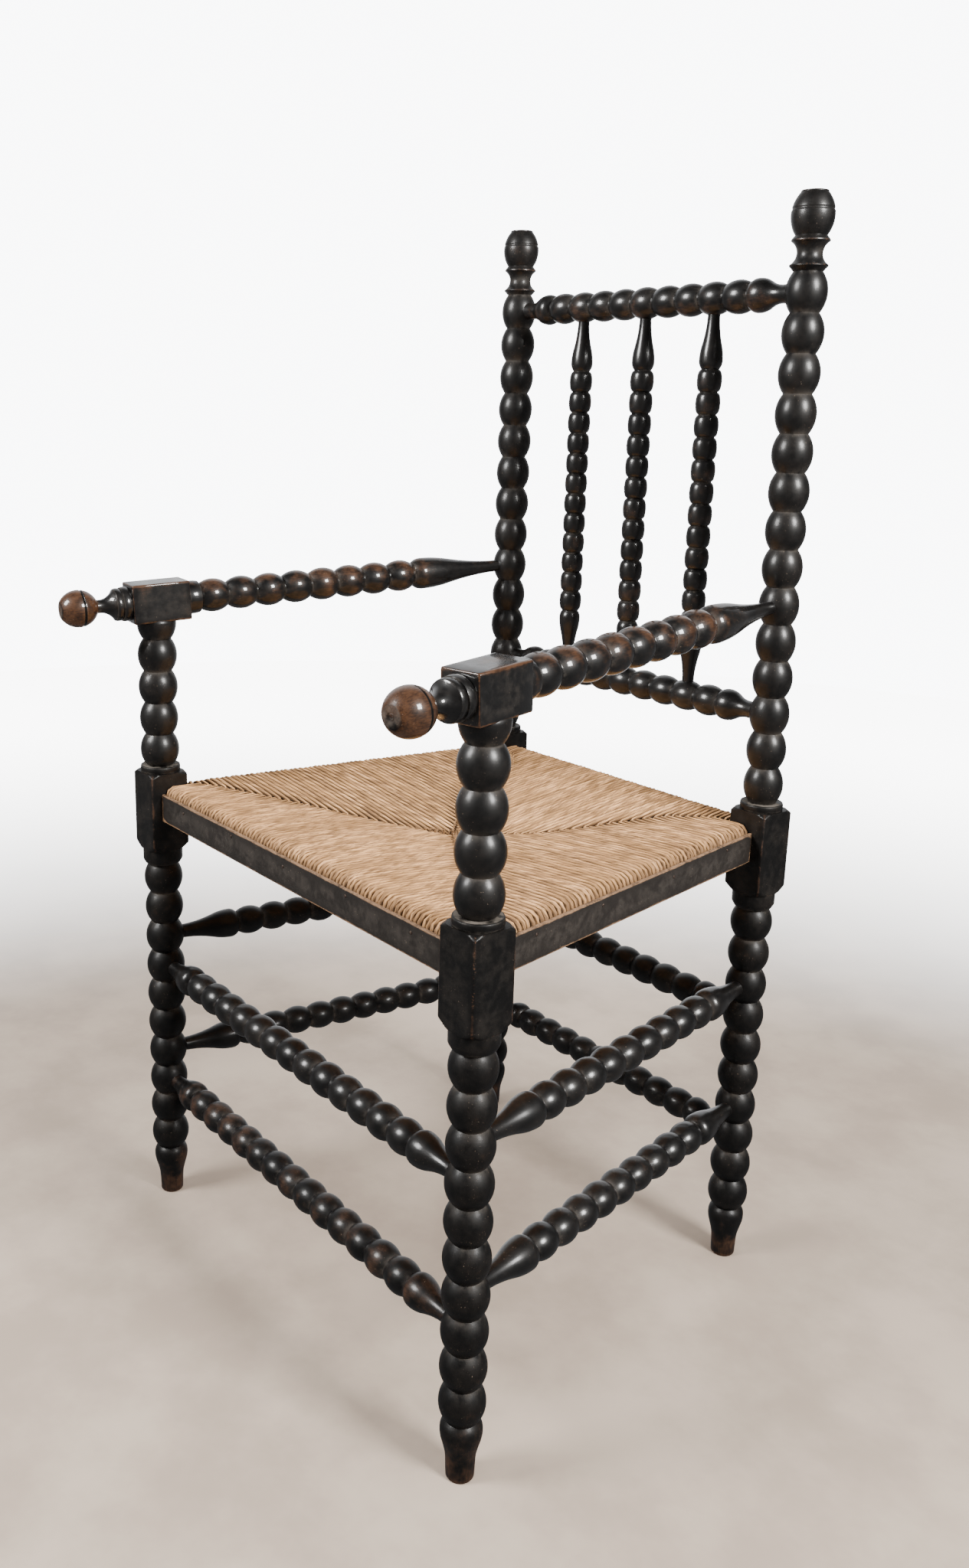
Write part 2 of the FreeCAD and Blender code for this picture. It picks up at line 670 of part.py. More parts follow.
def arm(label, side):
    """An arm along Z from its ball: neck, flare, two rings, the block on the front post, a collar, beads
    and a taper."""
    turn = {"yaw": f"{side} * side_yaw", "roll": "arm_rise - 90 deg"}
    aim = place(f"{side} * front_x", "front_y", "arm_front_z", **turn)
    body = new_body(label, f"{aim} * " + place("0", "0", "-arm_reach"))
    ball = swell("arm_ball_dia / 2 - (arm_disc_dia + arm_neck_dia) / 4")
    neck = "arm_neck_dia / 2"
    ring = "arm_ring_dia / 2 - arm_ring_swell"
    shoulder = "arm_shoulder_dia / 2 - arm_ring_swell"
    turning(body, "Front", [
        ("0", "0"),
        ("arm_disc_dia / 2", "0", ball),
        (neck, "arm_ball_length"),
        (neck, "arm_flare_start", SMOOTH),
        ("arm_flare_dia / 2", "arm_ring_start"),
        (ring, "arm_ring_start", swell("arm_ring_swell")),
        (ring, "arm_shoulder_start"),
        (shoulder, "arm_shoulder_start", swell("arm_ring_swell")),
        (shoulder, "arm_block_start"),
        ("0", "arm_block_start"),
    ])
    block = feature(body, "AdditiveBox", "Block", Length="arm_block_wide", Width="arm_block_high")
    block.setExpression("Height", bound("arm_block_fore + arm_block_aft"))
    corner = place("-arm_block_wide / 2", "-arm_block_high / 2", "arm_block_start")
    block.setExpression("Placement", bound(corner))
    body.Tip = block
    collar = "arm_collar_dia / 2 - arm_ring_swell"
    turning(body, "Collar", [
        ("0", "arm_block_end"),
        (collar, "arm_block_end", swell("arm_ring_swell")),
        (collar, "arm_bead_start"),
        ("0", "arm_bead_start"),
    ])
    string_of_beads(body, "Bead", "arm_bead_start", "arm_pitch", "arm_beads",
                    round_bead("arm_bead_start", "arm_pitch", "arm_bead_dia", "arm_groove_dia"))
    back_axis = "arm_reach + arm_run"
    entry = f"({back_axis} - back_bead_dia / 2)"
    vase(body, "arm_bead_end", entry, f"{back_axis} - socket_core - tenon_end_gap", ARM)
    line_radius = "sqrt(arm_ball_dia^2 / 4 - (arm_line_reach - arm_ball_length / 2)^2)"
    cut_line(body, "BallLine", line_radius, "arm_line_reach")
    upright = place("0", "0", "arm_reach", roll="90 deg - arm_rise")
    below = place("0", "0", "-arm_block_high")
    depth = "arm_block_high / 2 + arm_tenon_length + tenon_end_gap"
    socket(body, "PostSocket", f"{upright} * {below}", "arm_tenon_dia", depth)


def seat_rail(label, placement, shoulder_length, span):
    """A seat rail along Z about its middle: a rounded bar between blocks, with a round tenon at each end."""
    body = new_body(label, placement)
    bar = feature(body, "AdditiveBox", "Bar", Length="seat_rail_thick", Width="seat_rail_high")
    bar.setExpression("Height", bound(shoulder_length))
    corner = place("-seat_rail_thick / 2", "-seat_rail_high / 2", f"-({shoulder_length}) / 2")
    bar.setExpression("Placement", bound(corner))
    body.Tip = bar
    rounded(body, "Rounding", bar, "seat_rail_round", lambda edge, middle: abs(middle.z) < NEAR)
    rod = feature(body, "AdditiveCylinder", "Tenons", Radius="seat_tenon_dia / 2")
    rod.setExpression("Height", bound(f"{span} + 2 * seat_tenon_length"))
    rod.setExpression("Placement", bound(place("0", "0", f"-{span} / 2 - seat_tenon_length")))
    body.Tip = rod


def seat_rails():
    """Four rails that the rush is wound on. The side rails slant to the blocks, so their square shoulders
    stop short of them."""
    for label, y, span in (("seat_rail_front", "front_y + front_rail_inset", "front_span"),
                           ("seat_rail_back", "back_y - front_rail_inset", "back_span")):
        seat_rail(label, place("0", y, "seat_rail_z", **ACROSS), f"{span} - 2 * seat_fit", span)
    shoulder_length = "side_span - 2 * seat_fit / cos(side_yaw) - seat_rail_thick * tan(side_yaw)"
    for name, side in (("left", LEFT), ("right", RIGHT)):
        aim = place(f"{side} * mid_x", "mid_y", "seat_rail_z", yaw=f"{side} * side_yaw", roll="-90 deg")
        shift = place(f"{-side} * side_rail_inset", "0", "side_rail_inset * tan(side_yaw)")
        seat_rail(f"seat_rail_{name}", f"{aim} * {shift}", shoulder_length, "side_span")


def strip(label, placement, length, slant):
    """An edge strip: X runs inwards from its outer face, Y along it. Its ends lean along Y by the slant."""
    body = new_body(label, placement)
    plan = outline(body, "Plan", "XY_Plane", [
        ("0", "0"),
        ("strip_thick", slant),
        ("strip_thick", f"{length} + {slant}"),
        ("0", length),
    ])
    pad = feature(body, "Pad", "Strip", Length="strip_high")
    pad.Profile = plan
    body.Tip = pad
    level = value("strip_high / 2")
    half = value(f"({length} + {slant}) / 2")

    def long_edge(edge, middle):
        return abs(middle.z - level) > NEAR and abs(middle.y - half) < half / 2

    rounded(body, "Rounding", pad, "strip_round", long_edge)


def strips():
    """Four strips that cover the rush's edges, from block to block."""
    for label, y, yaw, span in (
            ("strip_front", "front_y - strip_front_set", "90 deg", "front_span"),
            ("strip_back", "back_y + strip_front_set", "-90 deg", "back_span")):
        length = f"({span} - 2 * seat_fit)"
        start = place("0", f"-{length} / 2", "0")
        strip(label, place("0", y, "strip_base", yaw=yaw) + " * " + start, length, "0")
    length = "(side_span - 2 * seat_fit / cos(side_yaw))"
    start = place("-strip_side_set", f"-strip_side_set * tan(side_yaw) - {length} / 2", "0")
    left = place("-mid_x", "mid_y", "strip_base", yaw="-side_yaw")
    strip("strip_left", f"{left} * {start}", length, "strip_thick * tan(side_yaw)")
    right = place("mid_x", "mid_y", "strip_base + strip_high", yaw="side_yaw", pitch="180 deg")
    strip("strip_right", f"{right} * {start}", length, "strip_thick * tan(side_yaw)")


def rush_side(y, inset):
    """X of a line inside the rush's right side, at a depth behind the rush's front."""
    return f"front_x + (rush_side_set - ({inset})) / cos(side_yaw) - ({y} - rush_front_set) * tan(side_yaw)"


def dish(body, name, rim_z, floor_z):
    """Cuts four slopes that run from the crests of the rush down to its middle and meet in mitre seams."""
    centre = "(rush_front_set + dish_reach)"
    front = "rush_crest"
    back = "rush_depth - rush_crest"
    corners = [
        ("0", front),
        (rush_side(front, "rush_crest"), front),
        (rush_side(back, "rush_crest"), back),
        ("0", back),
    ]
    inner = []
    for x, y in corners:
        inner.append((f"dish_flat_share * ({x})", f"{centre} + dish_flat_share * (({y}) - {centre})"))
    rim = outline(body, name + "Rim", "XY_Plane", corners, lift=rim_z)
    floor = outline(body, name + "Floor", "XY_Plane", inner, lift=floor_z)
    cut = feature(body, "SubtractiveLoft", name)
    cut.Profile = rim
    cut.Sections = [floor]
    cut.Ruled = True
    body.Tip = cut


def channel(body, name, length, placement):
    """A passage for a seat rail, along Z about its middle."""
    wide = "(seat_rail_thick + 2 * seat_fit)"
    high = "(seat_rail_high + 2 * seat_fit)"
    cut = feature(body, "SubtractiveBox", name, Length=wide, Width=high, Height=length)
    corner = place(f"-{wide} / 2", f"-{high} / 2", f"-{length} / 2")
    cut.setExpression("Placement", bound(f"{placement} * {corner}"))
    body.Tip = cut


def rush_seat():
    """The rush, wound over the four rails: its right half, from its front edge back, then its left half."""
    body = new_body("rush_seat", place("0", "front_y - rush_front_set", "rush_base"))
    front_notch = "rush_front_set + notch_reach"
    back_notch = "rush_depth - rush_front_set - notch_reach"
    plan = outline(body, "Plan", "XY_Plane", [
        ("0", "0"),
        ("front_x - notch_reach", "0"),
        ("front_x - notch_reach", front_notch),
        (rush_side(front_notch, "0"), front_notch),
        (rush_side(back_notch, "0"), back_notch),
        ("back_x - notch_reach", back_notch),
        ("back_x - notch_reach", "rush_depth"),
        ("0", "rush_depth"),
    ])
    pad = feature(body, "Pad", "Winding", Length="rush_high")
    pad.Profile = plan
    body.Tip = pad
    notches = value(f"2 * ({front_notch})")
    high = value("rush_high")
    side_x = value(rush_side("rush_depth / 2", "0"))
    depth = value("rush_depth")

    def outer_edge(edge, middle):
        level = min(abs(middle.z), abs(middle.z - high)) < NEAR
        at_end = min(abs(middle.y), abs(middle.y - depth)) < NEAR
        at_side = abs(middle.x - side_x) < NEAR and edge.Length > notches
        return level and (at_end or at_side)

    rounded(body, "RolledEdges", pad, "rush_round", outer_edge)
    dish(body, "Dish", "rush_high", "rush_high - dish_depth")
    dish(body, "UnderDish", "0", "under_dish_depth")
    for name, y in (("FrontChannel", "rush_crest"), ("BackChannel", "rush_depth - rush_crest")):
        channel(body, name, "(2 * front_x)", place("0", y, "rush_high / 2", **ACROSS))
    aim = place("mid_x", "rush_depth / 2", "rush_high / 2", yaw="side_yaw", roll="-90 deg")
    shift = place("-side_rail_inset", "0", "side_rail_inset * tan(side_yaw)")
    channel(body, "SideChannel", "(side_span + seat_rail_thick)", f"{aim} * {shift}")
    doc.recompute()
    whole = feature(body, "Mirrored", "Halves")
    whole.TransformMode = "Whole shape"
    whole.MirrorPlane = (origin_plane(body, "YZ_Plane"), [""])
    whole.Refine = True
    body.Tip = whole


for side_name, side_sign in (("left", LEFT), ("right", RIGHT)):
    post(f"front_post_{side_name}", side_sign, back=False)
    post(f"back_post_{side_name}", side_sign, back=True)
    arm(f"arm_{side_name}", side_sign)
stretchers_and_rails()
spindles()
seat_rails()
strips()
rush_seat()
doc.recompute()

for item in doc.Objects:
    if "Invalid" in item.State or "Error" in item.State:
        raise RuntimeError(f"{item.Name} did not build: {item.State}")
bodies = [item for item in doc.Objects if item.TypeId == "PartDesign::Body"]
for body in bodies:
    if body.Shape.isNull() or not body.Shape.isValid() or len(body.Shape.Solids) != 1:
        raise RuntimeError(f"{body.Label} is not one valid solid")

os.makedirs("parts", exist_ok=True)
for body in bodies:
    body.Shape.exportStep(f"parts/{body.Label}.step")
    print(body.Label, round(body.Shape.Volume), "mm3")
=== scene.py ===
# %% [markdown]
# # A bobbin-turned armchair with a rush seat
# The chair is lathe work: its posts, rails, spindles, arms and stretchers are rows of beads.
# The seat is four panels of twisted rush, wound over hidden rails and edged with thin strips.
# The packed model gives the place of each piece. This lesson adds smooth forms, finishes and wear.

# %% The frame
import math
from functools import partial, partialmethod
import bpy
import numpy as np
from mathutils import Matrix, Vector


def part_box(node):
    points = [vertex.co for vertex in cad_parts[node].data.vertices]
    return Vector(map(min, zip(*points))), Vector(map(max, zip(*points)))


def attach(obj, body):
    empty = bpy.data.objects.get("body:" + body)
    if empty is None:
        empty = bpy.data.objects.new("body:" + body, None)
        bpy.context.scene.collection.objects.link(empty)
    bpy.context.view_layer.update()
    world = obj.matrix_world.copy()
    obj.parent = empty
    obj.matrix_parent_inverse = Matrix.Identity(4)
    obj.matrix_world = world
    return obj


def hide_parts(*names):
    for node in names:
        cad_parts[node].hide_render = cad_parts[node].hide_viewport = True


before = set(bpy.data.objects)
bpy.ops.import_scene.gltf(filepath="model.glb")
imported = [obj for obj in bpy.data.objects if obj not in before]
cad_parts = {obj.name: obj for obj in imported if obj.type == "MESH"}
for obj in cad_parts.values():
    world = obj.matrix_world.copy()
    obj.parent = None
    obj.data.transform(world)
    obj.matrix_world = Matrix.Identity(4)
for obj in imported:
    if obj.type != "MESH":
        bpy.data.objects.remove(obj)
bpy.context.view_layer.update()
MM = 0.001


# %% [markdown]
# ## Sums on sockets
# A finish is a web of small nodes. A class that wraps an output socket lets plain Python sums add the Math
# nodes, which would take four lines each.
# One method makes every other kind of node: its settings go in first, then its sockets.

# %% Wires
class Wire:
    """An output socket of a node, which takes part in sums."""

    def __init__(self, socket):
        self.socket = socket

    @staticmethod
    def node(tree, kind, settings=None, sockets=None, output=0):
        """Adds a node and gives one of its outputs. A socket takes a value or a wire."""
        made = tree.nodes.new(kind)
        for key, setting in (settings or {}).items():
            setattr(made, key, setting)
        for key, value in (sockets or {}).items():
            if isinstance(value, Wire):
                tree.links.new(value.socket, made.inputs[key])
            else:
                made.inputs[key].default_value = value
        return Wire(made.outputs[output])

    def sum(self, operation, *others):
        sockets = dict(enumerate((self, *others)))
        return Wire.node(self.socket.id_data, "ShaderNodeMath", {"operation": operation}, sockets)

    __add__ = __radd__ = partialmethod(sum, "ADD")
    __mul__ = __rmul__ = partialmethod(sum, "MULTIPLY")
    __sub__ = partialmethod(sum, "SUBTRACT")
    __pow__ = partialmethod(sum, "POWER")
    sine = partialmethod(sum, "SINE")
    cosine = partialmethod(sum, "COSINE")

    def __rsub__(self, other):
        return self * -1.0 + other

    def between(self, low, high):
        """0 below low, 1 above high, and a soft step between them."""
        settings = {"interpolation_type": "SMOOTHSTEP"}
        sockets = {"Value": self, "From Min": low, "From Max": high}
        return Wire.node(self.socket.id_data, "ShaderNodeMapRange", settings, sockets)


print("sums on wires: + - * ** sine cosine between")


# %% Finishes
class Finish:
    """A material, and short ways to the nodes that its look is made of."""

    def __init__(self, name):
        self.material = bpy.data.materials.new(name)
        self.material.use_nodes = True
        self.tree = self.material.node_tree
        self.shader = self.tree.nodes["Principled BSDF"]
        self.node = partial(Wire.node, self.tree)

    def read(self, name, output="Fac"):
        return self.node("ShaderNodeAttribute", {"attribute_name": name}, output=output)

    def spot(self):
        return self.node("ShaderNodeTexCoord", output="Object")

    def stretched(self, vector, scale):
        return self.node("ShaderNodeMapping", None, {"Vector": vector, "Scale": scale})

    def noise(self, vector, scale, detail=3.0, roughness=0.55):
        sockets = {"Vector": vector, "Scale": scale, "Detail": detail, "Roughness": roughness}
        return self.node("ShaderNodeTexNoise", None, sockets)

    def blend(self, share, first, second):
        """From the first colour to the second."""
        first = first if isinstance(first, Wire) else (*first, 1)
        second = second if isinstance(second, Wire) else (*second, 1)
        return self.node("ShaderNodeMix", {"data_type": "RGBA"}, {0: share, 6: first, 7: second}, output=2)

    def layers(self, colour, *coats):
        """Lays coats, as (share, colour), over a colour."""
        for share, coat in coats:
            colour = self.blend(share, colour, coat)
        return colour

    def set(self, **wires):
        for key, wire in wires.items():
            socket = self.shader.inputs[key.replace("_", " ")]
            if isinstance(wire, Wire):
                self.tree.links.new(wire.socket, socket)
            else:
                socket.default_value = wire

    def bump(self, height, strength, distance):
        sockets = {"Strength": strength, "Distance": distance, "Height": height}
        self.set(Normal=self.node("ShaderNodeBump", None, sockets))


print("short ways to nodes:", [name for name in vars(Finish) if not name.startswith("_")])


# %% [markdown]
# ## Ebonised wood
# The wood was stained black and waxed. Hands, shoes and cloths have rubbed the stain off beads and corners,
# so brown wood shows there. Pale dust stays in the grooves.
# Each piece carries four attributes: crown (1 on a sharp edge, 0 in a groove, less on a ledge whose pale is
# dust and a painted sheen of the light from above), rub (how much it is handled), wax (how much is left) and
# grain (its own coordinates, fibres along Z).
# So one recipe serves every piece, whichever way it lies.

# %% Ebonised wood
PALE_DUST_AND_SHEEN, SPECK = (0.11, 0.095, 0.08), (0.20, 0.15, 0.11)


def ebonised(name, stain, bare, roughness, wax_roughness):
    """stain and bare are pairs of colours, dark and light."""
    finish = Finish(name)
    grain = finish.read("grain", "Vector")
    crown, rub, wax = (finish.read(key) for key in ("crown", "rub", "wax"))
    cloud = finish.noise(grain, scale=42, detail=2)
    patch = finish.noise(grain, scale=150, detail=4, roughness=0.6)
    fibre = finish.noise(finish.stretched(grain, (1.0, 1.0, 0.08)), scale=900, detail=4, roughness=0.6)
    lathe = finish.noise(finish.stretched(grain, (0.12, 0.12, 1.0)), scale=1300, detail=2)
    fleck = finish.noise(grain, scale=700, detail=2)
    black = finish.blend((cloud * 0.6 + patch * 0.4).between(0.38, 0.65), *stain)
    brown = finish.blend((fibre * 0.6 + patch * 0.4).between(0.3, 0.6), *bare)
    uneven = (cloud - 0.5) * 1.5 + (patch - 0.5) * 0.6 + (fibre - 0.5) * 0.3
    wear = (rub + crown * 0.25 + crown ** 8.0 * 0.5 + uneven).between(0.45, 1.15)
    chip = (crown * 1.26 + fleck * 0.8 + patch * 0.5 + rub * 0.12).between(1.95, 2.03)
    speck = fleck.between(0.69, 0.74) * cloud.between(0.5, 0.6)
    # Pale dust settles where crown is low, in the grooves. Where crown is below 0, on a ledge, the pale is
    # also a painted sheen of the light from above.
    dust_and_sheen = (1 - crown) ** 5.0 * (cloud * 0.5 + patch * 0.5).between(0.4, 0.62)
    colour = finish.layers(black, (wear * 0.92, brown), (chip * 0.8, bare[1]), (speck * 0.6, SPECK),
                           (dust_and_sheen * 0.4, PALE_DUST_AND_SHEEN))
    gloss = roughness + dust_and_sheen * 0.2 + (patch - 0.5) * 0.3 + (lathe - 0.5) * 0.15
    finish.set(Base_Color=colour, Roughness=gloss, Specular_IOR_Level=0.25,
               Coat_Weight=(1 - dust_and_sheen) * wax, Coat_Roughness=wax_roughness)
    finish.bump(fibre * 0.35 + lathe * 0.35 + patch * 0.6 - chip * 0.6, 0.2, 0.0006)
    return finish.material


STAIN = (0.0020, 0.0017, 0.0016), (0.0058, 0.0045, 0.0037)
BARE = (0.020, 0.0094, 0.0052), (0.055, 0.0258, 0.0132)
HANDLED = (0.018, 0.0072, 0.0032), (0.062, 0.0260, 0.0102)
SAWN = (0.0138, 0.0114, 0.0098), (0.0172, 0.0140, 0.0120)
SAWN_BARE = (0.050, 0.028, 0.0160), (0.22, 0.128, 0.070)
POST_WOOD = ebonised("post_wood", STAIN, BARE, 0.50, 0.26)
BAR_WOOD = ebonised("bar_wood", STAIN, BARE, 0.46, 0.22)
ARM_WOOD = ebonised("arm_wood", STAIN, HANDLED, 0.46, 0.10)
STRIP_WOOD = ebonised("strip_wood", SAWN, SAWN_BARE, 0.55, 0.30)
print("nodes in a wood finish:", len(POST_WOOD.node_tree.nodes))


# %% [markdown]
# ## The lathe
# A turned piece is a row of rings along an axis. A ring is round, or square where the turner left a block.
# The Screw modifier could turn an outline, but it leaves no square block in the middle of a post.
# Rings built in code do, and they carry crown, rub, wax and grain at every point.

# %% Skins
rng = np.random.default_rng(17)
GRAIN_SHIFT, SHARP_ANGLE = 3.0, 38


def link(name, data):
    piece = bpy.data.objects.new(name, data)
    bpy.context.scene.collection.objects.link(piece)
    return piece


def mark(mesh, key, values):
    """Writes a number for each point."""
    mesh.attributes.new(key, "FLOAT", "POINT").data.foreach_set("value", np.asarray(values, np.float32))


def skin(name, rings, crowns, rubs, waxes, place, finish):
    """Closes rings of points, in millimetres along a local Z, to a mesh in the chair's frame."""
    count, around = rings.shape[:2]
    local = np.concatenate([rings.reshape(-1, 3), rings[[0, -1]].mean(1)]) * MM
    index = np.arange(count * around).reshape(count, around)
    here, there = index[:-1], index[1:]
    quads = np.stack([here, np.roll(here, -1, 1), np.roll(there, -1, 1), there], -1).reshape(-1, 4)
    first, last = index[0], index[-1]
    base = np.full(around, count * around)
    foot = np.stack([base, np.roll(first, -1), first], -1)
    head = np.stack([base + 1, last, np.roll(last, -1)], -1)
    mesh = bpy.data.meshes.new(name)
    points = local @ np.array(place.to_3x3()).T + np.array(place.translation)
    mesh.from_pydata(points.tolist(), [], quads.tolist() + foot.tolist() + head.tolist())
    grain = (local + rng.uniform(-GRAIN_SHIFT, GRAIN_SHIFT, 3)).astype(np.float32)
    mesh.attributes.new("grain", "FLOAT_VECTOR", "POINT").data.foreach_set("vector", grain.ravel())
    for key, values in (("crown", crowns), ("rub", rubs), ("wax", waxes)):
        mark(mesh, key, np.concatenate([values.ravel(), values[[0, -1]].mean(1)]))
    mesh.materials.append(finish)
    mesh.shade_smooth()
    mesh.set_sharp_from_angle(angle=math.radians(SHARP_ANGLE))
    return link(name, mesh)


def settle(piece, slot, *nodes):
    """The piece stands for its solids, hides them and rides on the chair."""
    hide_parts(*nodes)
    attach(piece, "root")
    return piece


def faces_of(pieces):
    return [len(piece.data.polygons) for piece in pieces]


print("edges are sharp past", SHARP_ANGLE, "degrees")

# %% Turned pieces
SQUARENESS = 26.0
NEAR_CORNER = (1.2, 3, 6, 11, 17, 24, 31, 38)
EDGE_START, EDGE_RUN, FLAT_CROWN = 0.86, 0.1, 0.25


def block_angles():
    """Directions round a post, closer together at the corners of its block."""
    steps = [0, 45, *NEAR_CORNER, *(-step for step in NEAR_CORNER)]
    degrees = {round((45 + 90 * quarter + step) % 360, 3) for quarter in range(4) for step in steps}
    return np.radians(sorted(degrees))


def graded(*stops):
    """A value along a piece, from (height, value) stops."""
    heights, values = zip(*stops)
    return lambda height: np.interp(height, heights, values)


def turned(node, rows, place, angles, finish, rub, wax, top_rub=0.0):
    """A turned piece for a solid, from rows of (height, radius, crown, block half sizes or None).
    rub and wax give those two at a height, and top_rub adds rubbing on the upper side."""
    across = np.stack([np.cos(angles), np.sin(angles)], -1)
    upward = across @ np.array(place.to_3x3())[2, :2]
    rings, crowns = [], []
    for height, radius, crown, half in rows:
        radii = np.full(len(angles), radius)
        shine = np.full(len(angles), crown)
        if half:
            flat = ((np.abs(across) / half) ** SQUARENESS).sum(1) ** (-1 / SQUARENESS)
            edge = np.clip((flat / math.hypot(*half) - EDGE_START) / EDGE_RUN, 0, 1)
            radii = np.minimum(radius, flat)
            shine = np.maximum(crown, FLAT_CROWN + (1 - FLAT_CROWN) * edge)
        rings.append(np.column_stack([across * radii[:, None], np.full(len(angles), height)]))
        crowns.append(shine)
    rubs = np.array([rub(row[0]) for row in rows])[:, None] + top_rub * np.clip(upward, -0.3, 1)
    waxes = np.tile([[wax(row[0])] for row in rows], (1, len(angles)))
    piece = skin(node + "_turned", np.array(rings), np.array(crowns), rubs, waxes, place, finish)
    return settle(piece, "ebonised_wood", node)


print("directions round a block:", len(block_angles()))


# %% [markdown]
# ## Outlines
# Each helper gives the rows of one outline, such as a bead, so that a piece reads as a list from end to end.
# No two hand-turned beads are alike, so each gets its own small change of thickness.

# %% Curves
BEAD_CROWN, CROWN_FALL = 0.85, 1.7


def rounds(*rings):
    """Rows of round rings, from (height, radius, crown)."""
    return [(*ring, None) for ring in rings]


def lifted(rows, rise):
    return [(z + rise, r, crown, half) for z, r, crown, half in rows]


def mirrored(rows):
    """The same rows at the other end of a bar whose middle is at 0."""
    return [(-z, r, crown, half) for z, r, crown, half in reversed(rows)]


def arc(start, end, bulge, steps=12, crowned=True):
    """Rows on an arc between two (height, radius) points. A negative bulge makes it hollow."""
    start, end = np.array(start, float), np.array(end, float)
    chord = end - start
    length = np.hypot(*chord)
    out = np.array([-chord[1], chord[0]]) / length
    radius = (length ** 2 / 4 + bulge ** 2) / (2 * abs(bulge))
    half = 2 * math.atan2(2 * abs(bulge), length)
    rows = []
    for turn in np.linspace(-1, 1, steps + 1):
        swing = half * turn
        lift = radius * (math.cos(swing) - math.cos(half)) * math.copysign(1, bulge)
        spot = (start + end) / 2 + chord / length * radius * math.sin(swing) + out * lift
        share = BEAD_CROWN * (1 - abs(turn) ** CROWN_FALL)
        rows.append((spot[0], spot[1], share if crowned else 1 - share, None))
    return rows


def flow(knots, steps=7, crown=0.75):
    """Rows on a smooth curve through (height, radius, slope) knots."""
    rows = []
    for (z0, r0, m0), (z1, r1, m1) in zip(knots, knots[1:]):
        run = z1 - z0
        for t in np.linspace(0, 1, steps + 1)[:-1]:
            radius = ((1 + 2 * t) * (1 - t) ** 2 * r0 + t * (1 - t) ** 2 * run * m0
                      + t * t * (3 - 2 * t) * r1 + t * t * (t - 1) * run * m1)
            rows.append((z0 + t * run, radius, crown, None))
    return rows + rounds((knots[-1][0], knots[-1][1], crown))


print("an arc has", len(arc((0, 1), (2, 1), 0.5)), "rows")

# %% Beads and vases
HAND_LESS, HAND_MORE = -0.22, 0.12
TURN_SHARE, DROP_SHARE = 0.35, 0.33
SUNK = 9


def beads(start, pitch, count, bead_dia, groove_dia):
    """A string of round beads that meet in sharp grooves."""
    rows = []
    for number in range(count):
        low = start + number * pitch
        rise = (bead_dia - groove_dia) / 2 + rng.uniform(HAND_LESS, HAND_MORE)
        bead = arc((low, groove_dia / 2), (low + pitch, groove_dia / 2), rise)
        rows += bead if number == 0 else bead[1:]
    return rows


def vase(base, entry, crest, groove_dia, vase_dia, neck_dia, drop=DROP_SHARE):
    """A swell next to the last bead and a hollow taper that goes on into the socket.
    drop is the share of the fall that comes in the taper's first third."""
    swell_end = base + crest
    taper = entry - swell_end
    fall = (vase_dia - neck_dia) / 2
    steep = 2 * math.atan2(drop * fall, TURN_SHARE * taper)
    level = 2 * math.atan2((1 - drop) * fall, (1 - TURN_SHARE) * taper) - steep
    rise = (vase_dia - groove_dia) / 2
    bow = 0.5 * math.hypot(crest, rise) * math.tan(0.5 * math.atan2(rise, crest))
    swell = arc((base, groove_dia / 2), (swell_end, vase_dia / 2), bow, 7)
    swell = [(z, r, min(BEAD_CROWN, 1.2 * (z - base) / crest), half) for z, r, crown, half in swell]
    knots = [(swell_end, vase_dia / 2, 0.0),
             (swell_end + TURN_SHARE * taper, vase_dia / 2 - drop * fall, -math.tan(steep)),
             (entry, neck_dia / 2, -math.tan(level))]
    return swell + flow(knots)[1:] + rounds((entry + SUNK, neck_dia / 2, 0.2))


sample = beads(start=0, pitch=34.5, count=1, bead_dia=39, groove_dia=26.5)
print("one bead has", len(sample), "rows")


# %% [markdown]
# ## Posts
# A post is one piece of wood, from its foot to its finial or to the cup under an arm. The lathe cut the
# corners of its block to cones at both ends. A ring there is the smaller of a square and a circle, so the
# curved ears of the cut come out by themselves.

# %% Post outlines
LOWER_BEAD, FRONT_BEAD, BACK_BEAD = 41.4, 40.8, 38.4
LOWER_GROOVE, FRONT_GROOVE, POST_GROOVE = 28.3, 29.2, 26.5
LOWER_PITCH, FRONT_PITCH, BACK_PITCH = 34.5, 34, 35.8
LOWER_COUNT, FRONT_COUNT, BACK_COUNT = 10, 4, 14
FOOT_TOP, COLLAR_HIGH, BLOCK_HIGH, DISC_HIGH = 58, 17, 86, 7
COLLAR_BASE = FOOT_TOP + LOWER_COUNT * LOWER_PITCH
BLOCK_BASE = COLLAR_BASE + COLLAR_HIGH
BLOCK_TOP = BLOCK_BASE + BLOCK_HIGH
DISC_TOP = BLOCK_TOP + DISC_HIGH
CUP_BASE = DISC_TOP + FRONT_COUNT * FRONT_PITCH
FINIAL_BASE = DISC_TOP + BACK_COUNT * BACK_PITCH
BLOCK = (21.25, 21.25)
BLOCK_CORNER = 30.05
LOW_CONE, LOW_CONE_HIGH, TOP_CONE, TOP_CONE_HIGH = 23, 7, 25, 3.5


def cone(low, high, start, end, steps):
    """Rows of a block whose corners are cut to a cone. The narrow end is a sharp edge."""
    narrow = min(start, end)
    spots = zip(np.linspace(low, high, steps), np.linspace(start, end, steps))
    return [(z, radius, 1.0 if radius == narrow else 0.4, BLOCK) for z, radius in spots]


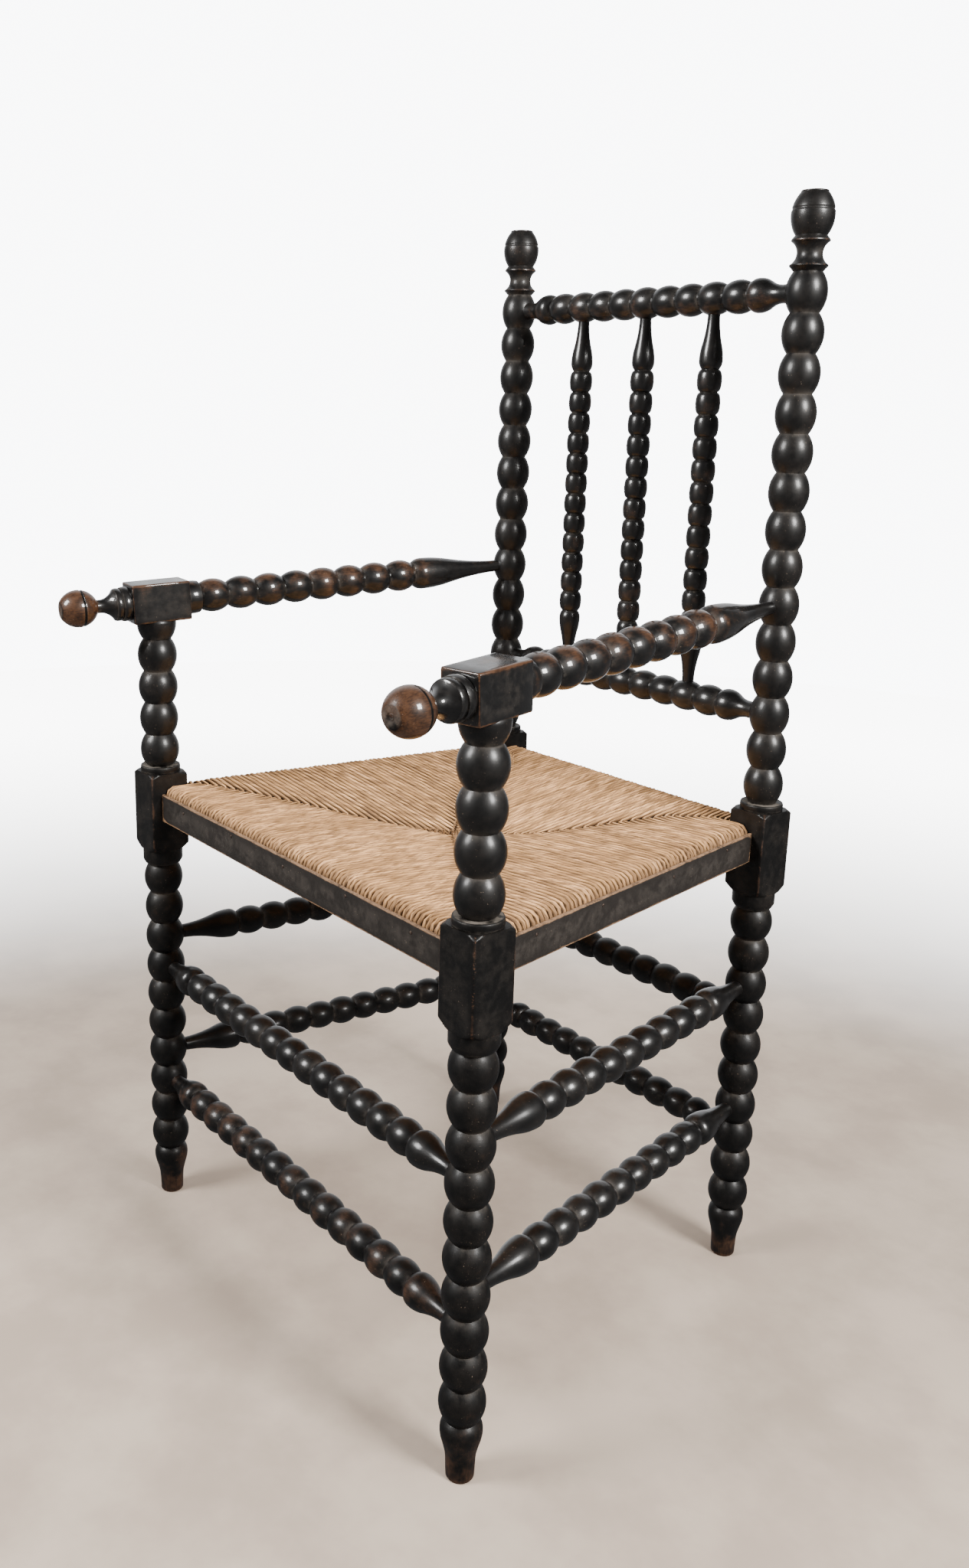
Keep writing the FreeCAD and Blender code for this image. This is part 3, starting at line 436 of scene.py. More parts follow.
def post_stem():
    """Rows that all four posts share: foot, ten beads, plain collar, block and disc."""
    rows = rounds((0, 10.9, 0.9), (0.5, 11.8, 1.0), (1.5, 12.4, 1.0))
    rows += flow([(1.5, 12.4, 0.043), (20, 13.2, 0.06), (33.5, 15.9, 0.27), (46, 18.5, 0.02),
                  (FOOT_TOP, LOWER_GROOVE / 2, -1.1)], 6, 0.8)[1:]
    rows += beads(FOOT_TOP, LOWER_PITCH, LOWER_COUNT, LOWER_BEAD, LOWER_GROOVE)[1:]
    collar = rounds((0, 18.6, 0.1), (4, 20.9, 0.85), (5, 21.1, 0.6), (16.6, 21.1, 0.35),
                    (COLLAR_HIGH, 21.1, 0.0))
    rows += lifted(collar, COLLAR_BASE)
    rows += cone(BLOCK_BASE, BLOCK_BASE + LOW_CONE_HIGH, LOW_CONE, BLOCK_CORNER, 7)
    rows += cone(BLOCK_TOP - TOP_CONE_HIGH, BLOCK_TOP, BLOCK_CORNER, TOP_CONE, 5)
    disc = rounds((0, 20.2, 0.0), (0.4, 20.6, 0.2)) + arc((0.8, 20.65), (6.4, 20.65), 0.35, 5)
    # The disc's upper face has a crown below 0, so it is painted pale: partly dust, partly a painted sheen
    # of the light from above.
    disc += rounds((6.8, 20.3, 0.9), (DISC_HIGH, 19.8, 0.3), (DISC_HIGH, 19.3, -0.3),
                   (DISC_HIGH, 14.5, -0.3), (DISC_HIGH, POST_GROOVE / 2, 0.0))
    return rows + lifted(disc, BLOCK_TOP)


def cup_rows():
    """The half bead that carries an arm."""
    cup = arc((0, FRONT_GROOVE / 2), (19.5, FRONT_BEAD / 2), 1.85, 10)[1:]
    cup = [(z, r, min(BEAD_CROWN, z / 14), half) for z, r, crown, half in cup]
    return lifted(cup + rounds((21, 19.4, 0.2)), CUP_BASE)


FINIAL_LINE, FINIAL_LINE_HALF = 53, 1.2


def finial_rows():
    """Two sharp flanges with a hollow between them, and an egg with a cut line and a flat top."""
    rows = rounds((4.1, 16.9, 0.6), (4.5, 17.3, 1.0), (5.5, 17.3, 1.0))
    rows += arc((5.7, 17.1), (25.8, 17.1), -5.6, 12, crowned=False)
    rows += rounds((26, 17.3, 1.0), (27, 17.3, 1.0), (27.6, 16.9, 0.6))
    for z, r, crown, half in arc((31, 14.2), (67.5, 12.25), 6.2, 40):
        cut = max(0.0, 1 - abs(z - FINIAL_LINE) / FINIAL_LINE_HALF)
        rows.append((z, r - cut, (0.45 + 0.5 * crown) * (1 - cut), half))
    rows += rounds((68.2, 12.25, 1.0), (68.9, 11.6, 1.0), (69, 10.9, 0.6), (68.7, 9.8, 0.2), (68.7, 3, 0.5))
    return lifted(rows, FINIAL_BASE)


print("blocks from", BLOCK_BASE, "to", BLOCK_TOP)

# %% Posts
POST_ANGLES = block_angles()
# Shoes have rubbed the feet brown, and hands the finials a little. Less wax is left below the seat.
POST_RUB = graded((15, 0.5), (75, -0.08), (500, -0.08), (520, -0.22), (1042, -0.22), (1046, 0.0))
POST_WAX = graded((514, 0.12), (530, 0.45))


def axis_of(node):
    low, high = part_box(node)
    return Vector(((low.x + high.x) / 2, (low.y + high.y) / 2, 0))


def post(name, back):
    rows = post_stem()
    if back:
        rows += beads(DISC_TOP, BACK_PITCH, BACK_COUNT, BACK_BEAD, POST_GROOVE)[1:] + finial_rows()
    else:
        rows += beads(DISC_TOP, FRONT_PITCH, FRONT_COUNT, FRONT_BEAD, FRONT_GROOVE)[1:] + cup_rows()
    return turned(name, rows, Matrix.Translation(axis_of(name)), POST_ANGLES, POST_WOOD, POST_RUB, POST_WAX)


posts = [post(f"{row}_post_{side}", row == "back")
         for row in ("front", "back") for side in ("left", "right")]
print("posts:", faces_of(posts))


# %% [markdown]
# ## Stretchers, rails and spindles
# A bar is laid out from its middle: beads, then a vase at each end that goes into a post or a rail.
# Their places come from the solids: a bar's height from its own box, its ends from the posts it joins.

# %% Bars
BAR_PITCH, BAR_BEAD, BAR_GROOVE, BAR_CREST, BAR_SIDES = 29.7, 32, 22, 9, 40


def between(start, end):
    """A place whose Z runs from start to end, about the middle, and whose X is level."""
    along = (end - start).normalized()
    level = along.cross(Vector((0, 0, 1)))
    level = level.normalized() if level.length > 0.1 else Vector((1, 0, 0))
    turn = Matrix((level, along.cross(level), along)).transposed().to_4x4()
    return Matrix.Translation((start + end) / 2) @ turn


def level_of(node):
    low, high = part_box(node)
    return Vector((0, 0, (low.z + high.z) / 2))


def bar(node, ends, string, entry, swell, sides, rub, wax, top_rub=0.0):
    """A string of beads about the middle of a line, and a vase at each end, which enters its socket
    at entry from the end. swell lists the vase's sizes from its crest on."""
    start, end = ends
    end_rows = vase(string[-1][0], (end - start).length / MM / 2 - entry, *swell)
    rows = mirrored(end_rows) + string[1:] + end_rows[1:]
    angles = np.arange(sides) * 2 * math.pi / sides
    wear = graded((0, rub)), graded((0, wax)), top_rub
    return turned(node, rows, between(start, end), angles, BAR_WOOD, *wear)


def bobbin_bar(node, corners, count, entry, neck, *wear):
    """A stretcher or rail between two posts. neck is the vase's neck and drop."""
    ends = [axis_of(corner) + level_of(node) for corner in corners]
    string = beads(-count * BAR_PITCH / 2, BAR_PITCH, count, BAR_BEAD, BAR_GROOVE)
    return bar(node, ends, string, entry, (BAR_CREST, BAR_GROOVE, BAR_BEAD, *neck), BAR_SIDES, *wear)


CORNERS = {"front": ("front_post_left", "front_post_right"), "back": ("back_post_left", "back_post_right"),
           "left": ("front_post_left", "back_post_left"), "right": ("front_post_right", "back_post_right")}
FRONT_BAR_BEADS, BAR_BEADS = 13, 9
STRETCHER_NECK, RAIL_NECK = (15, DROP_SHARE), (18, 0.45)
TIER_RUB, STRETCHER_WAX, RAIL_WAX = {"upper": -0.25, "lower": 0.0}, 0.35, 0.9
# Feet have rubbed the lower front stretcher brown. The upper front one and the right ones shine most.
OWN_RUB = {"stretcher_front_lower": 0.36}
OWN_WAX = {"stretcher_front_upper": 0.6, "stretcher_right_upper": 0.8, "stretcher_right_lower": 0.8}
bars = []
for side, corners in CORNERS.items():
    for tier, tier_rub in TIER_RUB.items():
        node = f"stretcher_{side}_{tier}"
        count = FRONT_BAR_BEADS if side == "front" else BAR_BEADS
        wear = OWN_RUB.get(node, tier_rub), OWN_WAX.get(node, STRETCHER_WAX)
        bars.append(bobbin_bar(node, corners, count, LOWER_BEAD / 2, STRETCHER_NECK, *wear))
for node, rub, top_rub in (("top_rail", 0.22, -0.35), ("lower_rail", -0.1, 0.0)):
    wear = rub, RAIL_WAX, top_rub
    bars.append(bobbin_bar(node, CORNERS["back"], BAR_BEADS, BACK_BEAD / 2, RAIL_NECK, *wear))
print("bars:", faces_of(bars))

# %% Spindles
BARREL_PITCH, BARREL_COUNT, SPINDLE_SIDES, SPINDLE_ENTRY = 21.8, 12, 32, 16
SPINDLE_GROOVE = 17.4
SPINDLE_SWELL = 8, SPINDLE_GROOVE, 23.2, 11.9
SPINDLE_WEAR = 0.03, 1.0
SHOULDER = rounds((0, SPINDLE_GROOVE / 2, 0.0), (1.2, 10.1, 0.25), (2.6, 11.05, 0.6), (4.2, 11.55, 0.8),
                  (6.6, 12, 0.85), (BARREL_PITCH / 2, 12.3, 0.85))


def spindle_beads(start):
    """Barrel beads: flat crowns between rounded shoulders."""
    barrel = SHOULDER + lifted(mirrored(SHOULDER), BARREL_PITCH)[1:]
    rows = lifted(barrel[:1], start)
    for number in range(BARREL_COUNT):
        rows += lifted(barrel[1:], start + number * BARREL_PITCH)
    return rows


def spindle(node):
    ends = [axis_of(node) + level_of(rail) for rail in ("lower_rail", "top_rail")]
    string = spindle_beads(-BARREL_COUNT * BARREL_PITCH / 2)
    return bar(node, ends, string, SPINDLE_ENTRY, SPINDLE_SWELL, SPINDLE_SIDES, *SPINDLE_WEAR)


spindles = [spindle(f"spindle_{name}") for name in ("left", "middle", "right")]
print("spindles:", faces_of(spindles))


# %% [markdown]
# ## Arms
# An arm is a ball, a neck, a bell-shaped flare, two rings, a block that sits on the front post, and a string
# of beads that ends in a long taper in the back post.
# Hands rest here, so the arms and their balls are the brownest wood of the chair.

# %% Arm outlines
BALL_LINE, BALL_LINE_HALF, BALL_LINE_DEPTH, BALL_END = 20.2, 1.1, 1.3, 36
NECK = 6.9
ARM_BLOCK = (19.0, 20.25)
PAST_CORNERS = 40
ARM_BLOCK_START, ARM_BLOCK_END, ARM_BEAD_START = 69.5, 130.5, 144.5
ARM_PITCH, ARM_COUNT, ARM_BEAD, ARM_GROOVE, ARM_CREST, ARM_TIP = 32.1, 8, 35.5, 24, 12, 13


def ball_rows():
    """A ball with the mark of the lathe's centre on its face and a line cut round it."""
    rows = rounds((-1, 0.8, 0.2), (-1.4, 1.6, 0.0), (-1.4, 2.4, 0.0), (-1.15, 2.9, 0.2),
                  (-1.4, 3.5, 0.0), (-1.3, 6, 0.0), (-1.1, 8.4, 0.0), (-0.7, 9.25, 0.3))
    for z, r, crown, half in arc((-0.7, 9.25), (BALL_END, NECK), 11.0, 64)[1:]:
        cut = max(0.0, 1 - abs(z - BALL_LINE) / BALL_LINE_HALF)
        rows.append((z, r - BALL_LINE_DEPTH * cut, BEAD_CROWN - 0.55 * cut, half))
    return rows


def bell_rows():
    """The neck behind the ball, the flare and two rings."""
    rows = rounds((36.2, NECK, 0.0), (39, NECK, 0.2))
    rows += flow([(39, NECK, 0.0), (46.5, 9, 0.62), (53, 15, 1.5)], 7, 0.4)[1:]
    rows += rounds((53.4, 15.5, 1.0), (53.5, 16, 0.6)) + arc((53.7, 16.2), (60.3, 16.2), 0.75, 6)
    rows += rounds((60.5, 15.4, 0.0)) + arc((60.7, 17.2), (68.9, 17.2), 0.75, 6)
    return rows + rounds((69.4, 16.6, 0.0))


def arm_rows(length):
    rows = ball_rows() + bell_rows()
    for z, inset in ((ARM_BLOCK_START, 1.1), (69.85, 0.4), (70.6, 0.0), (86, 0.0), (100, 0.0), (114, 0.0),
                     (129.4, 0.0), (130.15, 0.4), (ARM_BLOCK_END, 1.1)):
        rows.append((z, PAST_CORNERS, 1.0 if inset else 0.3, tuple(half - inset for half in ARM_BLOCK)))
    rows += rounds((ARM_BLOCK_END, 16.3, 0.0)) + arc((130.7, 16.7), (144.1, 16.7), 0.75, 7)
    rows += rounds((ARM_BEAD_START, 15.6, 0.2), (ARM_BEAD_START, ARM_GROOVE / 2, 0.0))
    rows += beads(ARM_BEAD_START, ARM_PITCH, ARM_COUNT, ARM_BEAD, ARM_GROOVE)[1:]
    taper_start = ARM_BEAD_START + ARM_COUNT * ARM_PITCH
    return rows + vase(taper_start, length - BACK_BEAD / 2, ARM_CREST, ARM_GROOVE, ARM_BEAD, ARM_TIP)[1:]


print("an arm's block is", ARM_BLOCK_END - ARM_BLOCK_START, "mm long")

# %% Arms
ARM_FRONT, ARM_BACK, ARM_REACH = 688.75, 709.9, 98.5
BEAD_RUB = graded((400, 0.34), (440, -0.06))
# The face of the ball is bare end grain, the ball is worn smooth, and the rest shines.
ARM_WAX = graded((0.2, 0.0), (1.5, 0.8), (37, 0.8), (45, 1.0))
ARM_TOP_RUB = 0.22
BALL_RUB, LINE_BLACK, LINE_REACH, FLARE_RUB, ARM_BLOCK_RUB = 0.68, 2.2, 1.3, -0.1, 0.2


def arm_rub(height):
    """Hands hold the ball most, rest on the beads, and leave the flare and the taper black."""
    if height < BALL_END + 1:
        return BALL_RUB - LINE_BLACK * max(0.0, 1 - abs(height - BALL_LINE) / LINE_REACH)
    if height < ARM_BLOCK_START:
        return FLARE_RUB
    return ARM_BLOCK_RUB if height < ARM_BEAD_START else BEAD_RUB(height)


def arm(side):
    start = axis_of(f"front_post_{side}") + Vector((0, 0, ARM_FRONT * MM))
    end = axis_of(f"back_post_{side}") + Vector((0, 0, ARM_BACK * MM))
    start = start - (end - start).normalized() * ARM_REACH * MM
    place = Matrix.Translation((start - end) / 2) @ between(start, end)
    rows = arm_rows((end - start).length / MM)
    return turned(f"arm_{side}", rows, place, POST_ANGLES, ARM_WOOD, arm_rub, ARM_WAX, ARM_TOP_RUB)


arms = [arm(side) for side in ("left", "right")]
print("arms:", faces_of(arms))


# %% [markdown]
# ## Edge strips
# Four thin strips cover the edges of the rush. They're sawn, not turned, so each one is a loft of a rounded
# rectangle along its length. Their long edges are rubbed paler than their faces.

# %% Strips
STRIP_THICK, STRIP_HIGH, STRIP_ROUND, STRIP_SET = 3.5, 30, 1.0, 4
STRIP_STATIONS, STRIP_WAVE, STRIP_WAX = 41, 0.03, 0.05


def strip_section():
    """Points round a rounded rectangle, and the crown at each: 1 at the edges, less on the two faces."""
    wide, tall = STRIP_THICK / 2 - STRIP_ROUND, STRIP_HIGH / 2 - STRIP_ROUND
    points, crowns = [], []
    for corner, (sx, sy) in enumerate(((1, 1), (-1, 1), (-1, -1), (1, -1))):
        for step in range(5):
            turn = math.radians(90 * corner + 22.5 * step)
            points.append((sx * wide + STRIP_ROUND * math.cos(turn),
                           sy * tall + STRIP_ROUND * math.sin(turn)))
            crowns.append(1.0)
        if corner in (1, 3):
            for share in (0.12, 0.3, 0.5, 0.7, 0.88):
                points.append((sx * STRIP_THICK / 2, sy * tall * (1 - 2 * share)))
                crowns.append(0.2 + 0.5 * abs(1 - 2 * share) ** 3)
    return np.array(points), np.array(crowns)


def strip_ends(side):
    """The ends of a strip's middle line, on its solid's slant, and the slope of its cut ends."""
    low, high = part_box(f"strip_{side}")
    z = (low.z + high.z) / 2
    if side in ("front", "back"):
        y = (low.y + high.y) / 2
        return Vector((low.x, y, z)), Vector((high.x, y, z)), 0.0
    near, far = (axis_of(corner) for corner in CORNERS[side])
    slope = (far.x - near.x) / (far.y - near.y)
    shift = math.copysign(STRIP_SET - STRIP_THICK / 2, near.x) * MM * math.hypot(1, slope)
    start, end = (Vector((near.x + shift + slope * (y - near.y), y, z)) for y in (low.y, high.y))
    return start, end, -slope


def strip(side):
    start, end, lean = strip_ends(side)
    section, edge = strip_section()
    length = (end - start).length / MM
    stations = np.linspace(-length / 2, length / 2, STRIP_STATIONS)
    wave = np.cumsum(rng.normal(0, STRIP_WAVE, STRIP_STATIONS))
    wave -= np.linspace(wave[0], wave[-1], STRIP_STATIONS)
    x, y = section.T
    rings = np.array([np.column_stack([x, y + shift * (y > 0), station + lean * x])
                      for station, shift in zip(stations, wave)])
    crowns = np.tile(edge, (STRIP_STATIONS, 1))
    crowns[[0, -1]] = 1.0
    rubs, waxes = crowns ** 4 * 0.8 - 0.5, np.full(crowns.shape, STRIP_WAX)
    piece = skin(f"strip_{side}_sawn", rings, crowns, rubs, waxes, between(start, end), STRIP_WOOD)
    return settle(piece, "ebonised_wood", f"strip_{side}")


strips = [strip(side) for side in CORNERS]
print("strips:", faces_of(strips))


# %% [markdown]
# ## Nails
# A few small nails hold each strip. Geometry Nodes put a flat-domed head at each mark, turned to face out of
# the strip, and one tree serves all four strips.

# %% Nail tree
def new_tree(name, inputs, output):
    """A Geometry Nodes tree with named inputs, a way to add nodes to it and a way to read an input."""
    tree = bpy.data.node_groups.new(name, "GeometryNodeTree")
    for label, kind in inputs.items():
        tree.interface.new_socket(label, in_out="INPUT", socket_type="NodeSocket" + kind)
    tree.interface.new_socket(output, in_out="OUTPUT", socket_type="NodeSocketGeometry")
    node = partial(Wire.node, tree)
    print(name, "takes", list(inputs))
    return tree, node, lambda label: node("NodeGroupInput", output=label)


def dress(tree, node, shape, finish):
    """The end of a tree: real points and faces, in their finish."""
    real = node("GeometryNodeRealizeInstances", None, {0: shape})
    dressed = node("GeometryNodeSetMaterial", None, {"Geometry": real, "Material": finish})
    tree.links.new(dressed.socket, tree.nodes.new("NodeGroupOutput").inputs[0])
    return tree


def nail_tree():
    inputs = {"Marks": "Geometry", "Head Radius": "Float", "Finish": "Material"}
    tree, node, given = new_tree("strip_nails", inputs, "Nails")
    size = given("Head Radius")
    dome = node("GeometryNodeMeshUVSphere", None, {"Segments": 12, "Rings": 8, "Radius": size})
    flat = node("GeometryNodeTransform", None, {"Geometry": dome, "Scale": (1.0, 1.0, 0.4)})
    out = node("GeometryNodeInputNamedAttribute", {"data_type": "FLOAT_VECTOR"}, {"Name": "out"})
    aim = node("FunctionNodeAlignRotationToVector", {"axis": "Z"}, {"Vector": out})
    sockets = {"Points": given("Marks"), "Instance": flat, "Rotation": aim}
    heads = node("GeometryNodeInstanceOnPoints", None, sockets)
    return dress(tree, node, heads, given("Finish"))


def through_nodes(source, tree, values):
    """Runs a tree on an object and leaves the result as a plain mesh."""
    modifier = source.modifiers.new("nodes", "NODES")
    modifier.node_group = tree
    for item in tree.interface.items_tree:
        if item.in_out == "INPUT" and item.name in values:
            modifier[item.identifier] = values[item.name]
    evaluated = source.evaluated_get(bpy.context.evaluated_depsgraph_get())
    mesh = bpy.data.meshes.new_from_object(evaluated)
    mesh.name = source.name
    source.modifiers.clear()
    source.data = mesh
    return source


NAILS = nail_tree()

# %% Nails
NAIL_LIFT, NAIL_DRIFT, NAIL_OUT, NAIL_HEAD = 7, 2, 1.8, 1.7
NAIL_COUNTS = {"front": 5, "back": 4, "left": 4, "right": 4}
NAIL_COLOURS = (0.10, 0.072, 0.058), (0.035, 0.022, 0.016)


def streaked(name, noise, stretch, edges, colours, roughness, bump, metallic=0.0):
    """A plain finish: two colours in streaks of one noise, which also roughens it."""
    finish = Finish(name)
    streak = finish.noise(finish.stretched(finish.spot(), stretch), *noise)
    base, change = roughness
    finish.set(Base_Color=finish.blend(streak.between(*edges), *colours), Roughness=base + streak * change,
               Metallic=metallic)
    finish.bump(streak, *bump)
    return finish.material


def nails(side, count):
    """Marks along a strip, near its top edge, each a little off its place."""
    start, end = strip_ends(side)[:2]
    out = (end - start).normalized().cross(Vector((0, 0, 1)))
    if out.dot((start + end) / 2) < 0:
        out = -out
    marks = []
    for number in range(count):
        share = (number + 0.5) / count + rng.uniform(-0.02, 0.02)
        lift = NAIL_LIFT + rng.uniform(-NAIL_DRIFT, NAIL_DRIFT)
        marks.append(start.lerp(end, share) + out * NAIL_OUT * MM + Vector((0, 0, lift * MM)))
    mesh = bpy.data.meshes.new(f"nails_{side}")
    mesh.from_pydata(marks, [], [])
    facing = mesh.attributes.new("out", "FLOAT_VECTOR", "POINT")
    facing.data.foreach_set("vector", np.tile(tuple(out), count))
    values = {"Head Radius": NAIL_HEAD * MM, "Finish": NAIL_IRON}
    piece = through_nodes(link(f"nails_{side}", mesh), NAILS, values)
    piece.data.shade_smooth()
    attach(piece, "root")
    return piece


NAIL_IRON = streaked("nail_iron", noise=(900,), stretch=(1, 1, 1), edges=(0.4, 0.6), colours=NAIL_COLOURS,
                     roughness=(0.42, 0.2), bump=(0.3, 0.0003), metallic=0.75)
nail_rows = [nails(side, NAIL_COUNTS[side]) for side in CORNERS]
print("nails:", faces_of(nail_rows))


# %% [markdown]
# ## Rush
# A rush strand is a few leaves twisted together. It comes up behind a strip, rolls over the rail, runs down
# the dish to the mitre seam and dives there. Below the seat it does the same.
# A bump map could hint at this, but the seams and the hooks over the rails need real strands.
# So each strand is a path, and Geometry Nodes give the paths their thickness and unevenness.
# The finish reads lap (the direction across the strand), along (the length from its start), tint (pale or
# golden) and a painted shade, dark under the rolls and where strands dive into a seam. It turns lap with
# along, so that the leaves wind round the strand.

# %% Rush finish
TWIST, TWIST_START = 95, 40
LEAF_LENGTH, LEAF_START = 30, 300
PALE_LEAF, GOLDEN_LEAF = (0.86, 0.480, 0.222), (0.60, 0.318, 0.122)
CLOUDED, BLOTCHED = (0.40, 0.202, 0.074), (0.36, 0.186, 0.071)
STREAKED, DASHED = (0.27, 0.140, 0.056), (0.17, 0.086, 0.034)
CREASE_SHADE, FLANK_SHADE, SHADE_TONE = (0.15, 0.078, 0.031), (0.050, 0.025, 0.010), (0.090, 0.052, 0.027)


def rush_finish():
    finish = Finish("rush")
    lap = finish.read("lap", "Vector")
    along, tint, grime = (finish.read(key) for key in ("along", "tint", "grime"))
    side, up = (finish.node("ShaderNodeSeparateXYZ", None, {0: lap}, axis) for axis in (0, 1))
    turn = along * TWIST + tint * TWIST_START
    wave, swing = turn.sine(), turn.cosine()
    ply_x = side * swing - up * wave
    ply_y = side * wave + up * swing
    ply_z = along * LEAF_LENGTH + tint * LEAF_START
    leaf = finish.node("ShaderNodeCombineXYZ", None, {0: ply_x, 1: ply_y, 2: ply_z})
    streak = finish.noise(leaf, scale=2.0, detail=4, roughness=0.65)
    blotch = finish.noise(leaf, scale=0.5, detail=2)
    dash = finish.noise(leaf, scale=1.0, detail=1)
    cloud = finish.noise(finish.spot(), scale=11)
    # crease is 0 on the line where the two twisted leaves meet. The bump sinks that line, and the colour
    # darkens it there as painted shade.
    crease = (ply_x * ply_x).between(0.0, 0.2)
    pale = finish.layers(PALE_LEAF, (tint, GOLDEN_LEAF), (cloud.between(0.42, 0.66) * 0.5, CLOUDED),
                         (blotch.between(0.42, 0.58) * 0.8, BLOTCHED))
    # The flanks of each strand, where it meets its neighbours, are painted almost black as the shade between
    # strands.
    # The last layer is painted shade, under the rolls and where strands dive into a seam.
    colour = finish.layers(STREAKED, (streak.between(0.36, 0.52), pale),
                           (dash.between(0.55, 0.65) * 0.7, DASHED), ((1 - crease) * 0.3, CREASE_SHADE),
                           ((side * side).between(0.25, 0.95) * 0.85, FLANK_SHADE), (grime * 0.6, SHADE_TONE))
    finish.set(Base_Color=colour, Roughness=0.6 + streak * 0.2, Specular_IOR_Level=0.3)
    finish.bump(streak * 0.6 + crease * 0.6, 0.6, 0.0010)
    return finish.material


RUSH = rush_finish()
print("nodes in the rush finish:", len(RUSH.node_tree.nodes))


# %% Strand tree
def strand_tree():
    """Paths in, strands out: evened, shaken a little, and given a round section."""
    inputs = {"Paths": "Geometry", "Strand Radius": "Float", "Unevenness": "Float", "Step": "Float",
              "Sides": "Int", "Finish": "Material"}
    tree, node, given = new_tree("rush_strands", inputs, "Strands")
    curves = node("GeometryNodeMeshToCurve", None, {"Mesh": given("Paths")})
    even = node("GeometryNodeResampleCurve", {"mode": "LENGTH"}, {0: curves, "Length": given("Step")})
    shake = node("ShaderNodeTexNoise", None, {"Scale": 45}, "Color")
    centred = node("ShaderNodeVectorMath", {"operation": "SUBTRACT"}, {0: shake, 1: (0.5, 0.5, 0.5)})
    amount = node("ShaderNodeVectorMath", {"operation": "SCALE"}, {0: centred, "Scale": given("Unevenness")})
    shaken = node("GeometryNodeSetPosition", None, {0: even, "Offset": amount})
    length = node("GeometryNodeSplineParameter", output="Length")
    marked = node("GeometryNodeStoreNamedAttribute", None, {0: shaken, "Name": "along", "Value": length})
    circle = node("GeometryNodeCurvePrimitiveCircle", None,
                  {"Resolution": given("Sides"), "Radius": given("Strand Radius")})
    across = node("ShaderNodeVectorMath", {"operation": "NORMALIZE"}, {0: node("GeometryNodeInputPosition")})
    lapped = node("GeometryNodeStoreNamedAttribute", {"data_type": "FLOAT_VECTOR"},
                  {0: circle, "Name": "lap", "Value": across})
    thick = node("GeometryNodeInputNamedAttribute", None, {"Name": "thick"})
    tube = node("GeometryNodeCurveToMesh", None,
                {"Curve": marked, "Profile Curve": lapped, "Scale": thick, "Fill Caps": True})
    smooth = node("GeometryNodeSetShadeSmooth", None, {0: tube})
    return dress(tree, node, smooth, given("Finish"))


STRANDS = strand_tree()


# %% [markdown]
# ## The seat's shape
# The rush's top falls from a crest over the rails to the middle, as four planes that meet in mitre seams.
# The seams were measured in plan: they bow a little, because the front is wider than the back.

# %% Seat surface
FRONT_Y, BACK_Y = axis_of("front_post_left").y / MM, axis_of("back_post_left").y / MM
FRONT_X, BACK_X = axis_of("front_post_right").x / MM, axis_of("back_post_right").x / MM
SLANT = (FRONT_X - BACK_X) / (BACK_Y - FRONT_Y)
RUSH_TOP, RUSH_BASE = 493.0, 453.0
DISH, UNDER_DISH, DISH_POWER, CREST = 24.0, 8.0, 1.25, 12.0
CENTRE_Y = FRONT_Y + 195
EDGE_SET, SIDE_SET = 6.5, 0.5
FRONT_EDGE, BACK_EDGE = FRONT_Y - EDGE_SET, BACK_Y + EDGE_SET
FRONT_SEAM = np.array([(0, 192), (56, 150), (135, 103), (211, 55), (243, 33), (266, 22)], float)
BACK_SEAM = np.array([(0, 197), (60, 254), (92, 328), (116, 376), (148, 405), (174, 417), (200, 424)], float)


def side_edge(y):
    """X of the rush's right edge."""
    return FRONT_X + SIDE_SET - (y - FRONT_Y) * SLANT


def fall(x, y):
    """How far down the dish a spot is, from 0 on the crest to 1 in the middle."""
    front = (y - FRONT_EDGE - CREST) / (CENTRE_Y - FRONT_EDGE - CREST)
    back = (BACK_EDGE - CREST - y) / (BACK_EDGE - CREST - CENTRE_Y)
    side = (side_edge(y) - CREST - np.abs(x)) / (side_edge(CENTRE_Y) - CREST)
    return np.clip(np.minimum(np.minimum(front, back), side), 0, 1)


def seam_y(seam, x):
    return FRONT_Y + np.interp(abs(x), seam[:, 0], seam[:, 1])


def seam_x(y):
    seam = FRONT_SEAM[::-1] if y < CENTRE_Y else BACK_SEAM
    return np.interp(y - FRONT_Y, seam[:, 1], seam[:, 0])


print("seat:", round(2 * side_edge(FRONT_Y)), "to", round(2 * side_edge(BACK_Y)), "mm wide")

# %% Strand paths
STRAND_RADIUS, STRAND_PITCH, SIDE_PITCH, OFF_PITCH = 2.55, 5.3, 5.8, 0.35
THINNED, THINNED_RUN, PATH_STEP = 0.46, 26.0, 8
ROLL, ROLL_TURNS = 10.0, np.radians((20, 40, 60, 80))
CORNER_INSET, SIDE_STOP = 24, 2.5
CROSS_ENDS = [(5.0, 9.0), (2.6, 3.4)]
SIDE_ENDS = [(3.2, 10.5), (2.6, 5.5), (1.4, 1.9)]


